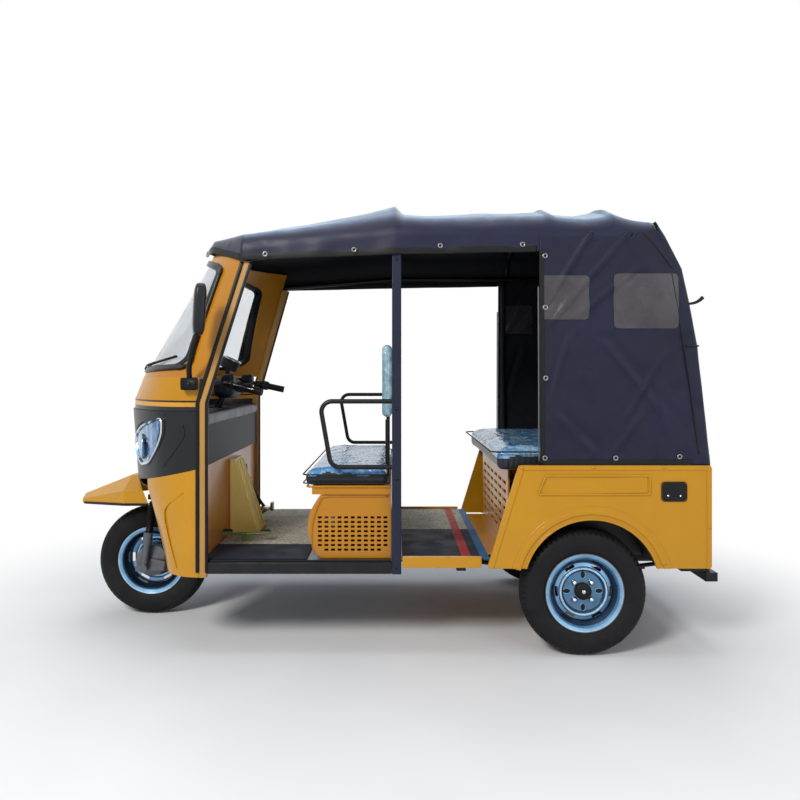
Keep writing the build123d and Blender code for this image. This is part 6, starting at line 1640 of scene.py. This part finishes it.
def cabDetail():
    # the bar's housing, pots and levers, the dash's rolled edge, the column cover's ridges, pedal and pads
    surfacePiece("barHousing", softBox((-0.790, 0.0, 1.140), (0.110, 0.250, 0.096), 0.55, 0.1),
                 paints["dash"], "fork", closeRows=True)
    for sideName, side in sides:
        surfacePiece("fluidPot" + sideName, softBox((-0.735, side * 0.225, 1.185), (0.060, 0.075, 0.050),
                                                    0.45, 0.0), paints["trim"],
                     "fork", closeRows=True)
        lever = smoothPath([(-0.735, side * 0.262, 1.172), (-0.700, side * 0.330, 1.160),
                            (-0.640, side * 0.352, 1.146),
                            (-0.590, side * 0.358, 1.134)], 40)
        sweepPiece("barLever" + sideName, lever, slabSection(0.006, 0.012, 0.0026), paints["bright"], "fork")
    edge = np.stack([np.full(60, -0.772), np.linspace(-0.568, 0.568, 60), np.full(60, 1.010)], 1)
    sweepPiece("dashEdge", edge, slabSection(0.052, 0.060, 0.025), paints["dashGloss"])
    for number, across in enumerate((-0.058, 0.0, 0.058)):
        ridge = np.array([(-0.728, across, 0.775), (-0.676, across * 1.15, 0.600), (-0.622, across * 1.3,
                                                                                    0.420)])
        sweepPiece(f"columnRidge{number}", smoothPath(ridge, 40), roundSection(0.011, 12), paints["cream"],
                   up=(0, 1, 0),
                   size=np.linspace(0.5, 1.3, 40))
    arm = smoothPath([(-0.752, 0.250, 0.720), (-0.742, 0.250, 0.660), (-0.712, 0.250, 0.590),
                      (-0.672, 0.250, 0.520),
                      (-0.648, 0.250, 0.488)], 50)
    sweepPiece("pedalArm", arm, roundSection(0.0085, 12), paints["black"], up=(0, 1, 0))
    surfacePiece("pedalPad", softBox((-0.640, 0.250, 0.482), (0.060, 0.070, 0.022), 0.5, 0.1),
                 paints["bright"], closeRows=True)
    for number, (x, y, z) in enumerate(((-0.735, -0.250, 0.462), (-0.553, -0.250, 0.462))):
        surfacePiece(f"gearPad{number}", softBox((x, y, z), (0.044, 0.036, 0.018), 0.5, 0.1), paints["grip"],
                     closeRows=True)


cabDetail()


def bootRow(name, side):
    # rubber gaiter between a damper's body and its rod
    low, high = np.array([-1.157, side * 0.100, 0.426]), np.array([-1.1395, side * 0.100, 0.575])
    length = float(np.linalg.norm(high - low))
    at = np.linspace(0, length, 60)
    radius = 0.0175 + 0.003 * np.sin(at * 2 * np.pi / 0.0125)
    profile = [(0.010, 0.0)] + list(zip(radius, at)) + [(0.010, length)]
    lathePiece(name, profile, paints["rubber"], "fork", low, axis=high - low, count=36)


bothSides(bootRow, "damperBoot")


tailLampY = 0.5458


def tailLampTrim(name, side):
    # an amber ribbed upper lens on the red lamp, and the lamp's rim
    y, z = np.meshgrid(np.linspace(-0.032, 0.032, 50), np.linspace(0.70, 0.748, 16), indexing="ij")
    grid = np.stack([1.4262 + 0.0012 * np.abs(np.sin(y * 700)), side * tailLampY + y, z], -1)
    flipToward(surfacePiece(name, grid, paints["amber"], closed=False), (1, 0, 0))
    corners = [(1.4150, -0.0405, 0.558), (1.4150, 0.0405, 0.558), (1.4150, 0.0405, 0.762), (1.4150, -0.0405,
                                                                                            0.762)]
    loop = cornerPath([(x, side * tailLampY + y, z) for x, y, z in corners], 0.016, closed=True)
    sweepPiece(name + "Rim", loop, slabSection(0.004, 0.010, 0.0018), paints["trim"], up=(1, 0, 0),
               closed=True)


bothSides(tailLampTrim, "tailLampUpper")


seatBoxY = 0.5565


def seatBoxTrim(name, side):
    # the raised border of the perforated side and the rolled lip of the pan
    z = np.linspace(0.425, 0.672, 40)
    front = -0.311 + 0.054 * ((z - 0.505) / 0.182) ** 2 * np.where(z > 0.505, 1, 1.2) + 0.012
    path = np.vstack([np.stack([front, np.full(40, side * seatBoxY), z], 1),
                      np.stack([np.linspace(-0.235, 0.034, 20), np.full(20, side * seatBoxY),
                                np.full(20, 0.678)], 1)])
    sweepPiece(name, path, slabSection(0.004, 0.010, 0.0018), paints["cab"], up=(0, side, 0))
    lip = cornerPath([(-0.318, side * 0.52, 0.7215), (-0.318, side * 0.566, 0.7215), (0.044, side * 0.566,
                                                                                      0.7215)], 0.03)
    sweepPiece(name + "Lip", lip, roundSection(0.005, 10), paints["cab"])


bothSides(seatBoxTrim, "seatBoxBorder")


def bolts(name, places, axis, body="chassis", radius=0.007, height=0.005, material="bright"):
    # domed bolt heads joined in one piece
    made = []
    for number, place in enumerate(places):
        profile = [(0.0, height), (radius * 0.55, height * 0.92), (radius, height * 0.45), (radius, -0.001),
                   (0.0, -0.001)]
        made.append(lathePiece(f"{name}{number}", profile, paints[material], body, place, axis=axis,
                               count=12))
    return joinedPiece(name, made)


for sideName, side in sides:
    bolts("pillarBolts" + sideName, [(0.070, side * 0.602, z) for z in (0.380, 0.760, 1.060, 1.700)],
          (0, side, 0), material="black")
    bolts("tubBolts" + sideName, [(x, side * 0.640, z) for x, z in ((0.600, 0.812), (0.900, 0.814),
                                                                    (1.200, 0.814), (1.390, 0.560))],
          (0, side, 0), material="body")
    bolts("mirrorBolt" + sideName, [(-0.815, side * 0.625, 1.166)], (0, side, 0), radius=0.009,
          material="black")


tubSkinY = 0.6395


def pressings(name, side):
    # the raised ring over the wheel arch and the raised panel's border
    turn = np.radians(np.linspace(18, 166, 120))
    ring = np.stack([0.896 + 0.322 * np.cos(turn), np.full(120, side * tubSkinY),
                     0.303 + 0.322 * np.sin(turn)], 1)
    sweepPiece(name + "Ring", ring, slabSection(0.022, 0.006, 0.0028), paints["body"], up=(0, side, 0))
    corners = [(0.700, 0.778), (1.141, 0.778), (1.141, 0.699), (0.668, 0.699)]
    loop = cornerPath([(x, side * tubSkinY, z) for x, z in corners], 0.012, closed=True)
    sweepPiece(name + "Panel", loop, slabSection(0.008, 0.005, 0.0022), paints["body"], up=(0, side, 0),
               closed=True)


bothSides(pressings, "pressing")


def fillerAndHook():
    # the fuel flap's edge, dark pocket and two studs on the left, and the cover's hooks at the rear corners
    loop = cornerPath([(1.189, -0.6405, 0.671), (1.295, -0.6405, 0.671), (1.295, -0.6405, 0.752),
                       (1.189, -0.6405, 0.752)], 0.014,
                      closed=True)
    sweepPiece("fillerGap", loop, roundSection(0.0015, 6), paints["trim"], up=(0, -1, 0), closed=True)
    outline = cornerPath([(1.191, 0, 0.673), (1.293, 0, 0.673), (1.293, 0, 0.750), (1.191, 0, 0.750)], 0.014,
                         closed=True)
    middle = outline.mean(0)
    flat = middle + np.linspace(1.0, 0.0, 8)[:, None, None] * (outline - middle)[None]
    flat[..., 1] = -0.6412
    flipToward(surfacePiece("fillerPocket", flat, paints["trim"], closeColumns=True), (0, -1, 0))
    bolts("fillerDots", [(1.216, -0.6415, 0.694), (1.268, -0.6415, 0.694)], (0, -1, 0), radius=0.0045,
          height=0.003)
    for sideName, side in sides:
        hook = smoothPath([(1.312, side * 0.600, 1.508), (1.340, side * 0.603, 1.512), (1.362, side * 0.604,
                                                                                        1.522),
                           (1.378, side * 0.604, 1.536)], 30)
        sweepPiece("coverHook" + sideName, hook, roundSection(0.005, 10), paints["trim"],
                   size=np.linspace(1.0, 1.7, 30))


fillerAndHook()


def innerMirror():
    # a small round mirror on a stem under the header
    centre = np.array([-0.800, 0.06, 1.690])
    lathePiece("innerMirror", [(0.0, 0.008), (0.030, 0.006), (0.036, 0.0), (0.030, -0.006), (0.0, -0.007)],
               paints["trim"], "chassis",
               centre, axis=(1, 0, -0.2), count=40)
    stem = smoothPath([centre + [-0.004, 0, 0.030], centre + [-0.010, 0, 0.05], (-0.822, 0.06, 1.757)], 16)
    sweepPiece("innerMirrorStem", stem, roundSection(0.005, 8), paints["trim"])


innerMirror()


def pillarSeams():
    # padded black hems that bind the cover's cloth to the front rear post, inside
    for sideName, side in sides:
        z = np.linspace(0.84, 1.74, 60)
        path = np.stack([np.full(60, 0.703), np.full(60, side * 0.5945), z], 1)
        sweepPiece("postWrap" + sideName, path, roundSection(0.0138, 12), paints["lining"], up=(1, 0, 0))


pillarSeams()
print("trim made")


photoView = {"place": (0.063, -3.7, 1.2), "sensor": 36.0, "lens": 32.61, "shift": (5, -24),
             "pictureWidth": 800}


def camera(look):
    # the photograph's level view of the left side; shift is in pixels of its picture
    made = bpy.data.cameras.new("photoView")
    made.sensor_width, made.lens = look["sensor"], look["lens"]
    made.shift_x, made.shift_y = (shift / look["pictureWidth"] for shift in look["shift"])
    seen = linkedObject("photoView", made)
    seen.location, seen.rotation_euler = look["place"], (math.radians(90), 0, 0)
    bpy.context.scene.camera = seen


def directRay(tree):
    # 1 where the camera looks, straight or by way of metal or clear glass
    path = addNode(tree, "ShaderNodeLightPath").outputs
    others = mathNode(tree, "MAXIMUM", path["Is Glossy Ray"], path["Is Transmission Ray"])
    return mathNode(tree, "MAXIMUM", path["Is Camera Ray"], others)


def stageMaterial(name):
    # a pale floor that takes the object's shadow nearby and fades into the white background further out
    made = bpy.data.materials.new(name)
    made.use_nodes = True
    tree = made.node_tree
    tree.nodes.clear()
    out = tree.nodes.new("ShaderNodeOutputMaterial")
    place = objectPlace(tree)
    grain = addNode(tree, "ShaderNodeTexNoise", {"Vector": place, "Scale": 1.5}).outputs["Fac"]
    level = stepValue(tree, grain, 0.3, 0.7, 0.88, 0.92)
    grey = addNode(tree, "ShaderNodeCombineColor", {0: level, 1: level, 2: level}).outputs[0]
    lit = addNode(tree, "ShaderNodeBsdfDiffuse", {"Color": grey})
    white = addNode(tree, "ShaderNodeEmission", {"Color": (1, 1, 1, 1), "Strength": 1.0})
    away = addNode(tree, "ShaderNodeVectorMath", {0: place}, operation="LENGTH").outputs["Value"]
    share = mathNode(tree, "MULTIPLY", directRay(tree), stepValue(tree, away, 1.2, 3.0))
    mix = addNode(tree, "ShaderNodeMixShader", {0: share, 1: lit.outputs[0], 2: white.outputs[0]})
    tree.links.new(mix.outputs[0], out.inputs["Surface"])
    return made


def stage():
    x, y = np.meshgrid(np.linspace(-30, 30, 13), np.linspace(-30, 30, 13), indexing="ij")
    grid = np.stack([x, y, np.full_like(x, -0.0005)], -1)
    floor = surfacePiece("paleFloor", grid, stageMaterial("paleFloor"), closed=False, smooth=False)
    flipToward(floor, (0, 0, 1))


def lamp(name, place, target, size, power, colour):
    data = bpy.data.lights.new(name, "AREA")
    data.shape, data.size, data.energy, data.color = "SQUARE", size, power, colour
    made = linkedObject(name, data)
    made.location = place
    made.rotation_euler = (Vector(target) - Vector(place)).to_track_quat("-Z", "Y").to_euler()


def world():
    made = bpy.data.worlds.new("paleWorld")
    made.use_nodes = True
    tree = made.node_tree
    back = tree.nodes["Background"]
    tree.links.new(mixColour(tree, directRay(tree), (0.25, 0.27, 0.31, 1), (1, 1, 1, 1)),
                   back.inputs["Color"])
    bpy.context.scene.world = made


camera(photoView)
stage()
world()
lights = {  # place, target, size in metres, power in watts, colour
    "keyLight": ((-2.6, -5.0, 4.4), (0.0, 0.0, 0.9), 1.5, 262.0, (1.0, 0.98, 0.94)),
    "fillLight": ((3.6, -4.2, 2.4), (0.2, 0.0, 0.8), 3.0, 42.0, (0.93, 0.96, 1.0)),
    "skyLight": ((0.0, 0.5, 5.2), (0.0, 0.0, 0.0), 4.5, 112.0, (0.86, 0.93, 1.0)),
}
for name, settings in lights.items():
    lamp(name, *settings)
bpy.context.scene.view_settings.view_transform = "Standard"
print("camera, floor and lights made")
